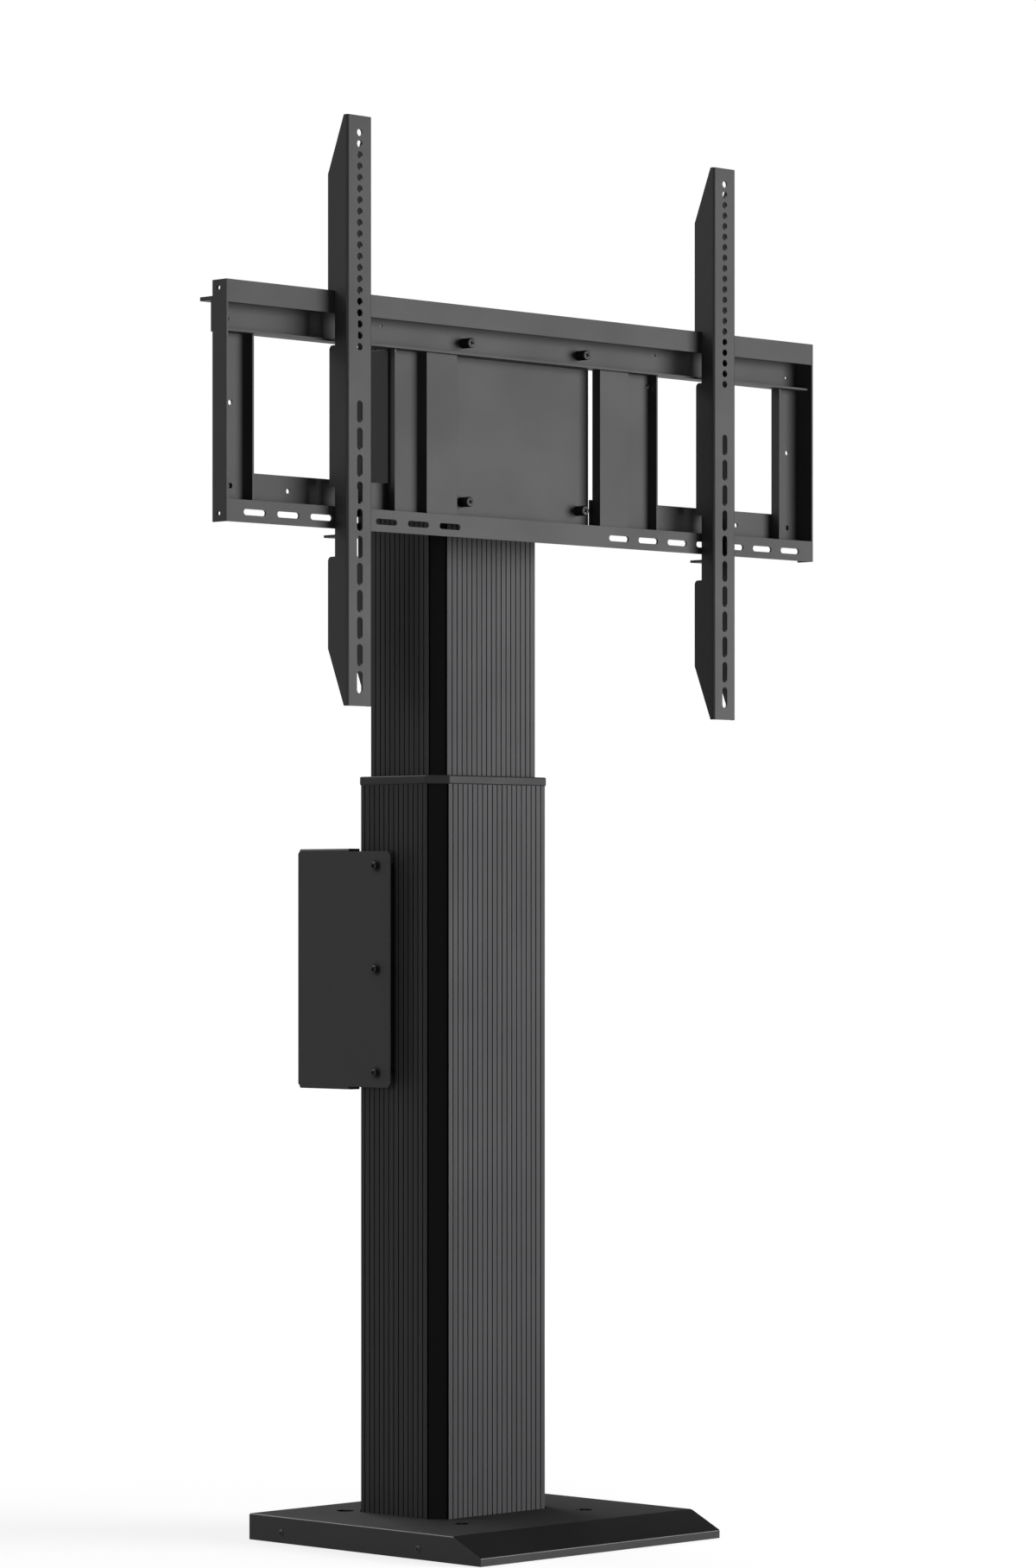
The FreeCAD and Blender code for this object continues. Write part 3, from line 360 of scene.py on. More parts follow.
@dataclass(frozen=True)
class AnodisedExtrusion(Finish):
    """Black anodised extrusion with upright die lines, and painted shade that darkens its grooves and its
    corner strips.
    """

    half_width: float = 97.0
    half_depth: float = 72.5
    center_y: float = 52.0
    # Painted shade: the grooves and the steps beside the corner strips are painted near black with no
    # specular, standing in for the shade that falls in them.
    groove_painted_shade: tuple[float, float, float] = (0.001, 0.001, 0.001)
    groove_shade_specular: float = 0.0
    groove_shade_span: tuple[float, float] = (-0.4, -0.1)
    # Painted shade: the recessed corner strips are painted darker, standing in for the dark reflection of
    # the chamfers.
    strip_painted_shade: tuple[float, float, float] = (0.01, 0.01, 0.0104)
    strip_shade_span: tuple[float, float] = (-2.6, -1.7)
    line_scale: tuple[float, float, float] = (900.0, 900.0, 2.5)
    line_bump: float = 0.12
    line_depth: float = 0.2
    cloud_scale: float = 6.0

    def height(self, sketch: NodeSketch, spot: bpy.types.NodeSocket) -> bpy.types.NodeSocket:
        """Return the height of a spot over the nearest outer face, below 0 in grooves and strips.

        Args:
            sketch: the tree to draw in.
            spot: the object coordinates.

        Returns:
            The height in metres.
        """
        split = sketch.split(spot)
        across = sketch.math("ABSOLUTE", split.outputs["X"])
        off_center = sketch.math("SUBTRACT", split.outputs["Y"], self.center_y * MM)
        along = sketch.math("ABSOLUTE", off_center)
        past_side = sketch.math("SUBTRACT", across, self.half_width * MM)
        past_front = sketch.math("SUBTRACT", along, self.half_depth * MM)
        return sketch.math("MAXIMUM", past_side, past_front)

    def draw(self, sketch: NodeSketch, shader: bpy.types.Node, place: bpy.types.Node) -> None:
        """Draw the die lines, and paint shade into the grooves and onto the corner strips.

        Args:
            sketch: the tree to draw in.
            shader: the surface shader.
            place: the texture coordinates.
        """
        spot = place.outputs["Object"]
        lines = sketch.noise(sketch.stretched(spot, self.line_scale), 1.0, detail=3.0)
        cloud = sketch.noise(spot, self.cloud_scale, detail=3.0)
        height = self.height(sketch, spot)
        # Painted shade masks: one for the grooves and steps, one for the corner strips.
        groove_shade_mask = sketch.ramp(height, metres(self.groove_shade_span), FADE)
        strip_shade_mask = sketch.ramp(height, metres(self.strip_shade_span), FADE)
        face = sketch.mix(sketch.ramp(lines, WIDE), self.dark, self.light)
        colour = sketch.mix(strip_shade_mask, sketch.mix(groove_shade_mask, face, self.groove_painted_shade), self.strip_painted_shade)
        sketch.join(colour, shader.inputs["Base Color"])
        # Painted shade: the specular level drops to the groove value wherever groove shade is painted.
        shaded_specular = sketch.ramp(groove_shade_mask, WHOLE, (self.specular, self.groove_shade_specular))
        sketch.join(shaded_specular, shader.inputs["Specular IOR Level"])
        sketch.join(sketch.ramp(cloud, WIDE, self.roughness), shader.inputs["Roughness"])
        sketch.join(sketch.bump(lines, self.line_bump, self.line_depth * MM), shader.inputs["Normal"])


@dataclass(frozen=True)
class MouldedPlastic(Finish):
    """Fine-grained moulded plastic."""

    grain: float = 2200.0
    grain_bump: float = 0.25
    grain_depth: float = 0.2
    cloud_scale: float = 20.0

    def draw(self, sketch: NodeSketch, shader: bpy.types.Node, place: bpy.types.Node) -> None:
        """Draw the moulded grain.

        Args:
            sketch: the tree to draw in.
            shader: the surface shader.
            place: the texture coordinates.
        """
        spot = place.outputs["Object"]
        grain = sketch.noise(spot, self.grain, detail=1.0)
        cloud = sketch.noise(spot, self.cloud_scale, detail=3.0)
        colour = sketch.mix(sketch.ramp(cloud, NARROW), self.dark, self.light)
        sketch.join(colour, shader.inputs["Base Color"])
        sketch.join(sketch.ramp(cloud, WIDE, self.roughness), shader.inputs["Roughness"])
        sketch.join(sketch.bump(grain, self.grain_bump, self.grain_depth * MM), shader.inputs["Normal"])


@dataclass(frozen=True)
class TurnedMetal(Finish):
    """Turned or drawn metal with fine tool marks along one direction."""

    marks: tuple[float, float, float] = (20.0, 20.0, 2500.0)
    mark_bump: float = 0.1
    mark_depth: float = 0.1

    def draw(self, sketch: NodeSketch, shader: bpy.types.Node, place: bpy.types.Node) -> None:
        """Draw the tool marks.

        Args:
            sketch: the tree to draw in.
            shader: the surface shader.
            place: the texture coordinates.
        """
        spot = place.outputs["Object"]
        marks = sketch.noise(sketch.stretched(spot, self.marks), 1.0)
        colour = sketch.mix(sketch.ramp(marks, WIDE), self.dark, self.light)
        sketch.join(colour, shader.inputs["Base Color"])
        sketch.join(sketch.ramp(marks, WIDE, self.roughness), shader.inputs["Roughness"])
        sketch.join(sketch.bump(marks, self.mark_bump, self.mark_depth * MM), shader.inputs["Normal"])


POWDER = PowderCoat(
    "powder_coat_black", dark=(0.007, 0.007, 0.0075), light=(0.01, 0.01, 0.0105),
    roughness=(0.51, 0.56), specular=0.26,
)
SATIN = PowderCoat(
    "powder_coat_satin", dark=(0.0015, 0.0015, 0.0016), light=(0.002, 0.002, 0.0022),
    roughness=(0.31, 0.35), specular=0.27, peel=0.05, top_extra=0.28,
)
OUTER_EXTRUSION = AnodisedExtrusion(
    "anodised_outer_black", dark=(0.036, 0.036, 0.038), light=(0.05, 0.05, 0.053),
    roughness=(0.42, 0.5), specular=0.08,
)
INNER_EXTRUSION = replace(OUTER_EXTRUSION, name="anodised_inner_black", half_width=87.5, half_depth=63.0)
PLASTIC = MouldedPlastic(
    "moulded_plastic_black", dark=(0.011, 0.011, 0.012), light=(0.015, 0.015, 0.016),
    roughness=(0.5, 0.62), specular=0.2,
)
BLACK_ZINC = TurnedMetal(
    "black_zinc", dark=(0.004, 0.004, 0.0043), light=(0.007, 0.007, 0.0074),
    roughness=(0.38, 0.46), specular=0.18,
)
STEEL = TurnedMetal(
    "turned_steel", dark=(0.4, 0.4, 0.41), light=(0.52, 0.52, 0.53),
    roughness=(0.25, 0.4), metallic=1.0, specular=0.5,
)
MILL = TurnedMetal(
    "mill_aluminium", dark=(0.55, 0.55, 0.56), light=(0.66, 0.66, 0.67),
    roughness=(0.35, 0.5), metallic=1.0, specular=0.5, marks=(300.0, 8.0, 300.0),
)
BRASS = TurnedMetal(
    "machined_brass", dark=(0.5, 0.34, 0.14), light=(0.62, 0.44, 0.2),
    roughness=(0.28, 0.4), metallic=1.0, specular=0.5,
)

SLOT_FINISHES: dict[str, Finish] = {
    "powder_black": POWDER,
    "anodised_black": OUTER_EXTRUSION,
    "plastic_black": PLASTIC,
    "screw_black": BLACK_ZINC,
    "steel": STEEL,
    "mill_aluminium": MILL,
    "brass": BRASS,
}


class Workshop:
    """Shared steps that turn meshes into pieces of the stand."""

    slots: dict[str, str] = {part["node"]: part["material_slot"] for part in frame["record"]["subparts"]}
    merge_distance: float = 1e-6
    flat_angle: float = math.radians(0.5)
    sharp_angle: float = math.radians(40.0)
    flat_weight: int = 100

    @classmethod
    def finish_of(cls, node: str) -> Finish:
        """Return the finish of a CAD node.

        Args:
            node: the node's name.

        Returns:
            The finish of its material slot.
        """
        return SLOT_FINISHES[cls.slots[node]]

    @staticmethod
    def to_object(name: str, mesh: bpy.types.Mesh) -> bpy.types.Object:
        """Return a new linked object at the origin.

        Args:
            name: the object's name.
            mesh: its mesh.

        Returns:
            The object.
        """
        piece = bpy.data.objects.new(name, mesh)
        bpy.context.scene.collection.objects.link(piece)
        return piece

    @staticmethod
    def baked(host: bpy.types.Object) -> bpy.types.Mesh:
        """Return the plain mesh of an object with its modifiers worked out.

        Args:
            host: the object.

        Returns:
            A new mesh.
        """
        bpy.context.view_layer.update()
        graph = bpy.context.evaluated_depsgraph_get()
        return bpy.data.meshes.new_from_object(host.evaluated_get(graph), depsgraph=graph)

    @staticmethod
    def joined(name: str, meshes: list[bpy.types.Mesh], finish: Finish) -> bpy.types.Mesh:
        """Join meshes into one with a single finish.

        Args:
            name: the new mesh's name.
            meshes: the meshes to join.
            finish: the finish of the result.

        Returns:
            The joined mesh.
        """
        form = bmesh.new()
        for mesh in meshes:
            form.from_mesh(mesh)
        for face in form.faces:
            face.material_index = 0
        result = bpy.data.meshes.new(name)
        form.to_mesh(result)
        form.free()
        result.materials.append(finish.material())
        return result

    @classmethod
    def settle(cls, name: str, mesh: bpy.types.Mesh, body: Body, node: str) -> None:
        """Make a piece that stands for a CAD node, with its body.

        Args:
            name: the piece's name.
            mesh: its finished mesh.
            body: the body that it rides on.
            node: the CAD node that it replaces.
        """
        piece = cls.to_object(name, mesh)
        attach(piece, body.value)
        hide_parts(node)
        LOG.info("piece %s on %s: %d faces", piece.name, body.value, len(mesh.polygons))

    @classmethod
    def dress_node(cls, node: str, finish: Finish | None = None) -> None:
        """Give a CAD node's slots its finish.

        Args:
            node: the node's name.
            finish: a finish of its own, or None for the one of its slot.
        """
        material = (finish or cls.finish_of(node)).material()
        for slot in frame["nodes"][node].material_slots:
            slot.material = material
        LOG.info("node %s: %s", node, material.name)

    @classmethod
    def soften(
        cls, node: str, body: Body, width: float, segments: int = 2, finish: Finish | None = None
    ) -> None:
        """Replace a CAD node by a copy whose sharp edges are rounded over.

        Args:
            node: the node's name.
            body: the body that it rides on.
            width: the width of the rounding in millimetres.
            segments: how many strips the rounding has.
            finish: a finish of its own, or None for the one of its slot.
        """
        shell = bmesh.new()
        shell.from_mesh(frame["nodes"][node].data)
        bmesh.ops.remove_doubles(shell, verts=shell.verts, dist=cls.merge_distance)
        bmesh.ops.dissolve_limit(shell, angle_limit=cls.flat_angle, verts=shell.verts, edges=shell.edges)
        for face in shell.faces:
            face.smooth = True
        mesh = bpy.data.meshes.new(node + "_sheet")
        shell.to_mesh(mesh)
        shell.free()
        host = cls.to_object(node + "_host", mesh)
        bevel = host.modifiers.new("edge_rounding", "BEVEL")
        bevel.width = width * MM
        bevel.segments = segments
        bevel.limit_method = "ANGLE"
        bevel.angle_limit = cls.sharp_angle
        shading = host.modifiers.new("flat_faces", "WEIGHTED_NORMAL")
        shading.weight = cls.flat_weight
        rounded = cls.baked(host)
        bpy.data.objects.remove(host)
        rounded.name = node + "_soft"
        rounded.materials.clear()
        rounded.materials.append((finish or cls.finish_of(node)).material())
        for polygon in rounded.polygons:
            polygon.material_index = 0
        cls.settle(node + "_soft", rounded, body, node)


def lathe(
    form: bmesh.types.BMesh, profile: list[tuple[float, float]], segments: int, center_y: float = 0.0
) -> list[list[bmesh.types.BMVert]]:
    """Turn a profile about an upright axis and close its lower end.

    Args:
        form: the mesh to add to.
        profile: the radius and height of each ring, from the bottom up.
        segments: how many steps a ring has.
        center_y: where the axis stands.

    Returns:
        The vertices of each ring.
    """
    turns = [2 * math.pi * step / segments for step in range(segments)]
    rings = []
    for radius, height in profile:
        spots = [(radius * math.cos(turn), center_y + radius * math.sin(turn), height) for turn in turns]
        rings.append([form.verts.new(spot) for spot in spots])
    for low, high in zip(rings, rings[1:]):
        for step in range(segments):
            after = (step + 1) % segments
            form.faces.new((low[step], low[after], high[after], high[step]))
    form.faces.new(list(reversed(rings[0])))
    return rings


@dataclass
class Screw:
    """A screw or bolt in millimetres, drawn along +Z with its seat at the origin."""

    name: str
    head_radius: float
    head_height: float
    shank_radius: float
    shank_length: float
    recess: Recess
    recess_radius: float
    recess_depth: float
    crown: float = 0.0
    washer_radius: float = 0.0
    washer_height: float = 0.0
    segments: int = 32
    chamfer_share: float = 0.12
    tip_share: float = 0.7
    tip_rise: float = 0.4
    land_share: float = 1.25
    arm_share: float = 0.26
    taper: float = 0.72
    crease: float = 25.0

    def profile(self) -> list[tuple[float, float]]:
        """Return the radius and height in metres of each ring from the tip to the top of the head."""
        chamfer = self.chamfer_share * self.head_radius
        tip = -self.shank_length
        base = self.washer_height
        top = self.head_height
        rings = [
            (self.tip_share * self.shank_radius, tip),
            (self.shank_radius, tip + self.tip_rise * self.shank_radius),
            (self.shank_radius, 0.0),
        ]
        if self.washer_height > 0.0:
            rings += [(self.washer_radius, 0.0), (self.washer_radius, base)]
        rings += [
            (self.head_radius, base),
            (self.head_radius, top - self.crown - chamfer),
            (self.head_radius - chamfer, top - self.crown),
            (self.land_share * self.recess_radius, top),
        ]
        return [metres(ring) for ring in rings]

    def outline(self) -> list[tuple[float, float]]:
        """Return the outline of the drive recess in metres."""
        size = self.recess_radius * MM
        if self.recess is Recess.HEX:
            turns = [math.radians(60.0 * step) for step in range(6)]
            return [(size * math.cos(turn), size * math.sin(turn)) for turn in turns]
        arm = self.arm_share * size
        points = []
        for step in range(4):
            turn = math.radians(90.0 * step)
            for x, y in ((size, -arm), (size, arm), (arm, arm)):
                across = x * math.cos(turn) - y * math.sin(turn)
                along = x * math.sin(turn) + y * math.cos(turn)
                points.append((across, along))
        return points

    def close_head(self, form: bmesh.types.BMesh, rim: list[bmesh.types.BMVert]) -> None:
        """Close the top of the head around its drive recess.

        Args:
            form: the screw's mesh.
            rim: the topmost ring of the head.
        """
        top = self.head_height * MM
        bottom = top - self.recess_depth * MM
        mouth = [form.verts.new((x, y, top)) for x, y in self.outline()]
        floor = [form.verts.new((self.taper * x, self.taper * y, bottom)) for x, y in self.outline()]
        edges = [form.edges.new(pair) for pair in zip(mouth, mouth[1:] + mouth[:1])]
        edges += [form.edges.get(pair) for pair in zip(rim, rim[1:] + rim[:1])]
        bmesh.ops.triangle_fill(form, use_beauty=True, use_dissolve=False, edges=edges)
        for step in range(len(mouth)):
            after = (step + 1) % len(mouth)
            form.faces.new((mouth[step], mouth[after], floor[after], floor[step]))
        form.faces.new(floor)

    def mesh(self) -> bpy.types.Mesh:
        """Return the screw's closed mesh."""
        form = bmesh.new()
        self.close_head(form, lathe(form, self.profile(), self.segments)[-1])
        bmesh.ops.recalc_face_normals(form, faces=form.faces)
        for face in form.faces:
            face.smooth = True
        limit = math.radians(self.crease)
        for edge in form.edges:
            edge.smooth = len(edge.link_faces) == 2 and edge.calc_face_angle(0.0) < limit
        mesh = bpy.data.meshes.new(self.name)
        form.to_mesh(mesh)
        form.free()
        return mesh


class FastenerRow:
    """Sets one kind of screw at many places with a node tree."""

    def __init__(self) -> None:
        """Build the tree once, with named inputs for the screw, its turn and its finish."""
        self.tree = bpy.data.node_groups.new("fastener_row", "GeometryNodeTree")
        sketch = NodeSketch(self.tree)
        sketch.sockets("INPUT", {
            "Places": "Geometry", "Screw": "Object", "Turn": "Vector", "Seed": "Int", "Finish": "Material",
        })
        sketch.sockets("OUTPUT", {"Screws": "Geometry"})
        given = sketch.add("NodeGroupInput")
        made = sketch.add("NodeGroupOutput")
        screw = sketch.add("GeometryNodeObjectInfo", transform_space="ORIGINAL")
        place = sketch.add("GeometryNodeInstanceOnPoints")
        chance = sketch.add("FunctionNodeRandomValue", data_type="FLOAT")
        chance.inputs[2].default_value = 0.0
        chance.inputs[3].default_value = 2 * math.pi
        spin = sketch.add("ShaderNodeCombineXYZ")
        turn = sketch.add("GeometryNodeRotateInstances")
        turn.inputs["Local Space"].default_value = True
        real = sketch.add("GeometryNodeRealizeInstances")
        coat = sketch.add("GeometryNodeSetMaterial")
        sketch.join(given.outputs["Screw"], screw.inputs["Object"])
        sketch.join(given.outputs["Places"], place.inputs["Points"])
        sketch.join(screw.outputs["Geometry"], place.inputs["Instance"])
        sketch.join(given.outputs["Turn"], place.inputs["Rotation"])
        sketch.join(given.outputs["Seed"], chance.inputs["Seed"])
        sketch.join(chance.outputs[1], spin.inputs["Z"])
        sketch.join(place.outputs["Instances"], turn.inputs["Instances"])
        sketch.join(spin.outputs[0], turn.inputs["Rotation"])
        sketch.join(turn.outputs["Instances"], real.inputs["Geometry"])
        sketch.join(real.outputs["Geometry"], coat.inputs["Geometry"])
        sketch.join(given.outputs["Finish"], coat.inputs["Material"])
        sketch.join(coat.outputs["Geometry"], made.inputs["Screws"])

    def mesh(self, screw: Screw, places: list[Vector], facing: Facing, finish: Finish) -> bpy.types.Mesh:
        """Return one mesh with the screw at every place.

        Args:
            screw: the screw to repeat.
            places: the seat of each one, in metres.
            facing: the way that the heads face.
            finish: the finish of the screws.

        Returns:
            A plain mesh.
        """
        pattern = Workshop.to_object(screw.name + "_pattern", screw.mesh())
        points = bpy.data.meshes.new(screw.name + "_places")
        points.from_pydata([tuple(place) for place in places], [], [])
        host = Workshop.to_object(screw.name + "_host", points)
        row = host.modifiers.new("fastener_row", "NODES")
        row.node_group = self.tree
        names = NodeSketch(self.tree).identifiers()
        row[names["Screw"]] = pattern
        row[names["Turn"]] = facing.value
        row[names["Seed"]] = SEED
        row[names["Finish"]] = finish.material()
        result = Workshop.baked(host)
        host.modifiers.remove(row)
        bpy.data.objects.remove(host)
        bpy.data.objects.remove(pattern)
        return result


@dataclass
class Base:
    """The covered base with its bushes, plate and cover screws."""

    screw_places: tuple[tuple[float, float], ...] = ((-90.0, 12.0), (136.0, 12.0))
    half_width: float = 196.5
    rounding: float = 0.8
    nodes: tuple[str, ...] = ("base_plate", "column_foot", "column_foot_bolts", "column_side_screws")

    def build(self, row: FastenerRow) -> None:
        """Dress the base.

        Args:
            row: the tool that sets screws.
        """
        for node in self.nodes:
            Workshop.dress_node(node)
        Workshop.soften("base_cover", Body.STAND, self.rounding, finish=SATIN)
        Workshop.soften("anchor_bushes", Body.STAND, self.rounding)
        self.cover_screws(row)

    def cover_screws(self, row: FastenerRow) -> None:
        """Set the domed screws in both sides of the cover.

        Args:
            row: the tool that sets screws.
        """
        screw = Screw(
            "base_cover_screw", head_radius=4.0, head_height=1.2, shank_radius=2.0, shank_length=12.0,
            recess=Recess.CROSS, recess_radius=2.0, recess_depth=0.9, crown=0.5,
        )
        meshes = []
        for side, facing in ((-1.0, Facing.LEFT), (1.0, Facing.RIGHT)):
            seats = [Vector((side * self.half_width, y, z)) * MM for y, z in self.screw_places]
            meshes.append(row.mesh(screw, seats, facing, POWDER))
        name = "base_cover_fasteners"
        Workshop.settle(name, Workshop.joined(name, meshes, POWDER), Body.STAND, "base_cover_screws")


@dataclass
class Column:
    """The telescopic column with its collar, glides and spindle drive."""

    nodes: tuple[str, ...] = (
        "outer_column", "upper_glides", "lower_glides", "drive_motor", "motor_end_cap", "spindle_bearing",
        "inner_column_bottom_plate", "spindle_nut", "inner_column_top_plug", "gear_housing",
    )
    collar_rounding: float = 1.6
    collar_strips: int = 3

    def build(self) -> None:
        """Dress the column and round its collar."""
        for node in self.nodes:
            Workshop.dress_node(node)
        Workshop.dress_node("inner_column", INNER_EXTRUSION)
        Workshop.soften("outer_collar", Body.STAND, self.collar_rounding, self.collar_strips)


@dataclass
class Spindle:
    """The lift spindle with its thread."""

    center_y: float = 52.0
    core_radius: float = 8.4
    crest_radius: float = 10.0
    pitch: float = 5.0
    thread_low: float = 84.0
    thread_high: float = 708.0
    ridge_sink: float = 0.2
    ridge_sides: int = 6
    turn_steps: int = 20
    shoulder_radius: float = 14.0
    shoulder_low: float = 76.2
    shoulder_high: float = 80.2
    end_chamfer: float = 1.0
    segments: int = 40

    def thread_tree(self) -> bpy.types.NodeTree:
        """Return a tree that sweeps a thread ridge along a helix."""
        tree = bpy.data.node_groups.new("spindle_thread", "GeometryNodeTree")
        sketch = NodeSketch(tree)
        sketch.sockets("INPUT", {
            "Turns": "Float", "Radius": "Float", "Height": "Float", "Ridge": "Float", "Finish": "Material",
        })
        sketch.sockets("OUTPUT", {"Thread": "Geometry"})
        given = sketch.add("NodeGroupInput")
        made = sketch.add("NodeGroupOutput")
        helix = sketch.add("GeometryNodeCurveSpiral")
        helix.inputs["Resolution"].default_value = self.turn_steps
        ridge = sketch.add("GeometryNodeCurvePrimitiveCircle", mode="RADIUS")
        ridge.inputs["Resolution"].default_value = self.ridge_sides
        sweep = sketch.add("GeometryNodeCurveToMesh")
        sweep.inputs["Fill Caps"].default_value = True
        real = sketch.add("GeometryNodeRealizeInstances")
        coat = sketch.add("GeometryNodeSetMaterial")
        sketch.join(given.outputs["Turns"], helix.inputs["Rotations"])
        sketch.join(given.outputs["Radius"], helix.inputs["Start Radius"])
        sketch.join(given.outputs["Radius"], helix.inputs["End Radius"])
        sketch.join(given.outputs["Height"], helix.inputs["Height"])
        sketch.join(given.outputs["Ridge"], ridge.inputs["Radius"])
        sketch.join(helix.outputs["Curve"], sweep.inputs["Curve"])
        sketch.join(ridge.outputs["Curve"], sweep.inputs["Profile Curve"])
        sketch.join(sweep.outputs["Mesh"], real.inputs["Geometry"])
        sketch.join(real.outputs["Geometry"], coat.inputs["Geometry"])
        sketch.join(given.outputs["Finish"], coat.inputs["Material"])
        sketch.join(coat.outputs["Geometry"], made.inputs["Thread"])
        return tree

    def thread_mesh(self) -> bpy.types.Mesh:
        """Return the swept thread, standing on the spindle's axis."""
        tree = self.thread_tree()
        host = Workshop.to_object("spindle_thread_host", bpy.data.meshes.new("spindle_thread_host"))
        sweep = host.modifiers.new("thread", "NODES")
        sweep.node_group = tree
        names = NodeSketch(tree).identifiers()
        ridge = (self.crest_radius - self.core_radius) / 2 + self.ridge_sink
        height = self.thread_high - self.thread_low
        sweep[names["Turns"]] = height / self.pitch
        sweep[names["Radius"]] = (self.crest_radius - ridge) * MM
        sweep[names["Height"]] = height * MM
        sweep[names["Ridge"]] = ridge * MM
        sweep[names["Finish"]] = STEEL.material()
        mesh = Workshop.baked(host)
        host.modifiers.remove(sweep)
        bpy.data.objects.remove(host)
        mesh.transform(Matrix.Translation(Vector((0.0, self.center_y, self.thread_low)) * MM))
        return mesh

    def shaft_mesh(self) -> bpy.types.Mesh:
        """Return the turned shaft with its journal and shoulder."""
        low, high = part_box("spindle")
        bottom, top = low.z / MM, high.z / MM
        journal, core, shoulder = self.crest_radius, self.core_radius, self.shoulder_radius
        rings = [
            (journal - self.end_chamfer, bottom), (journal, bottom + self.end_chamfer),
            (journal, self.shoulder_low), (shoulder, self.shoulder_low),
            (shoulder, self.shoulder_high), (core, self.shoulder_high),
            (core, top - self.end_chamfer), (core - self.end_chamfer, top),
        ]
        form = bmesh.new()
        loops = lathe(form, [metres(ring) for ring in rings], self.segments, self.center_y * MM)
        form.faces.new(loops[-1])
        bmesh.ops.recalc_face_normals(form, faces=form.faces)
        mesh = bpy.data.meshes.new("spindle_shaft")
        form.to_mesh(mesh)
        form.free()
        return mesh

    def build(self) -> None:
        """Make the threaded spindle in place of the plain one."""
        name = "threaded_spindle"
        mesh = Workshop.joined(name, [self.shaft_mesh(), self.thread_mesh()], STEEL)
        Workshop.settle(name, mesh, Body.SPINDLE, "spindle")


@dataclass
class ControlBox:
    """The control unit with its side cover and standoff screws."""

    screw_y: float = 59.0
    seat_x: float = -119.0
    heights: tuple[float, ...] = (543.0, 662.5, 782.0)
    cover_rounding: float = 0.7
    unit_rounding: float = 1.2
    nodes: tuple[str, ...] = ("control_cover_spacers", "mains_inlet")

    def build(self, row: FastenerRow) -> None:
        """Dress the control box.

        Args:
            row: the tool that sets screws.
        """
        for node in self.nodes:
            Workshop.dress_node(node)
        Workshop.soften("control_cover", Body.STAND, self.cover_rounding)
        Workshop.soften("control_unit", Body.STAND, self.unit_rounding)
        Workshop.soften("control_unit_lid", Body.STAND, self.unit_rounding)
        screw = Screw(
            "control_cover_screw", head_radius=4.5, head_height=4.6, shank_radius=2.5, shank_length=26.5,
            recess=Recess.CROSS, recess_radius=2.8, recess_depth=2.0, crown=0.4,
            washer_radius=7.0, washer_height=0.8,
        )
        seats = [Vector((self.seat_x, self.screw_y, height)) * MM for height in self.heights]
        name = "control_cover_fasteners"
        mesh = Workshop.joined(name, [row.mesh(screw, seats, Facing.LEFT, BLACK_ZINC)], BLACK_ZINC)
        Workshop.settle(name, mesh, Body.STAND, "control_cover_screws")


@dataclass
class HangingFrame:
    """The head bracket and the folded frame that hangs from it."""

    screw_x: float = 95.0
    screw_heights: tuple[float, float] = (1377.5, 1196.5)
    screw_seats: tuple[float, float] = (-60.25, -57.75)
    bolt_x: float = 55.0
    bolt_y: tuple[float, float] = (19.0, 85.0)
    bolt_seat: float = 1396.3
    rounding: float = 0.6
    folded: tuple[str, ...] = (
        "head_cap", "head_bracket", "frame_top_rail", "frame_bottom_rail", "frame_left_end_post",
        "frame_right_end_post", "frame_left_inner_post", "frame_right_inner_post", "frame_left_stiffener",
        "frame_right_stiffener", "frame_centre_plate",
    )

    def build(self, row: FastenerRow) -> None:
        """Dress the frame.

        Args:
            row: the tool that sets screws.
        """
        for node in self.folded:
            Workshop.soften(node, Body.LIFT, self.rounding)
        self.frame_screws(row)
        self.cap_bolts(row)

    def frame_screws(self, row: FastenerRow) -> None:
        """Set the four long-headed screws.

        Args:
            row: the tool that sets screws.
        """
        screw = Screw(
            "frame_screw", head_radius=5.8, head_height=14.0, shank_radius=4.0, shank_length=11.0,
            recess=Recess.CROSS, recess_radius=3.4, recess_depth=3.0, crown=0.3,
        )
        seats = []
        for height, seat in zip(self.screw_heights, self.screw_seats):
            seats += [Vector((side * self.screw_x, seat, height)) * MM for side in (-1.0, 1.0)]
        name = "frame_fasteners"
        mesh = Workshop.joined(name, [row.mesh(screw, seats, Facing.FRONT, BLACK_ZINC)], BLACK_ZINC)
        Workshop.settle(name, mesh, Body.LIFT, "frame_screws")

    def cap_bolts(self, row: FastenerRow) -> None:
        """Set the socket bolts in the head cap.

        Args:
            row: the tool that sets screws.
        """
        bolt = Screw(
            "head_cap_bolt", head_radius=6.5, head_height=8.0, shank_radius=4.0, shank_length=21.0,
            recess=Recess.HEX, recess_radius=3.5, recess_depth=4.0,
        )
        seats = []
        for side in (-1.0, 1.0):
            seats += [Vector((side * self.bolt_x, y, self.bolt_seat)) * MM for y in self.bolt_y]
        name = "head_cap_fasteners"
        mesh = Workshop.joined(name, [row.mesh(bolt, seats, Facing.UP, BLACK_ZINC)], BLACK_ZINC)
        Workshop.settle(name, mesh, Body.LIFT, "head_cap_bolts")


@dataclass
class DisplayRails:
    """The two hooked display rails with their lock tabs."""

    rounding: float = 0.5

    def build(self) -> None:
        """Round over the rails and tabs."""
        for side, body in (("left", Body.LEFT_RAIL), ("right", Body.RIGHT_RAIL)):
            Workshop.soften(side + "_rail", body, self.rounding)
            Workshop.soften(side + "_lock_tab", body, self.rounding)


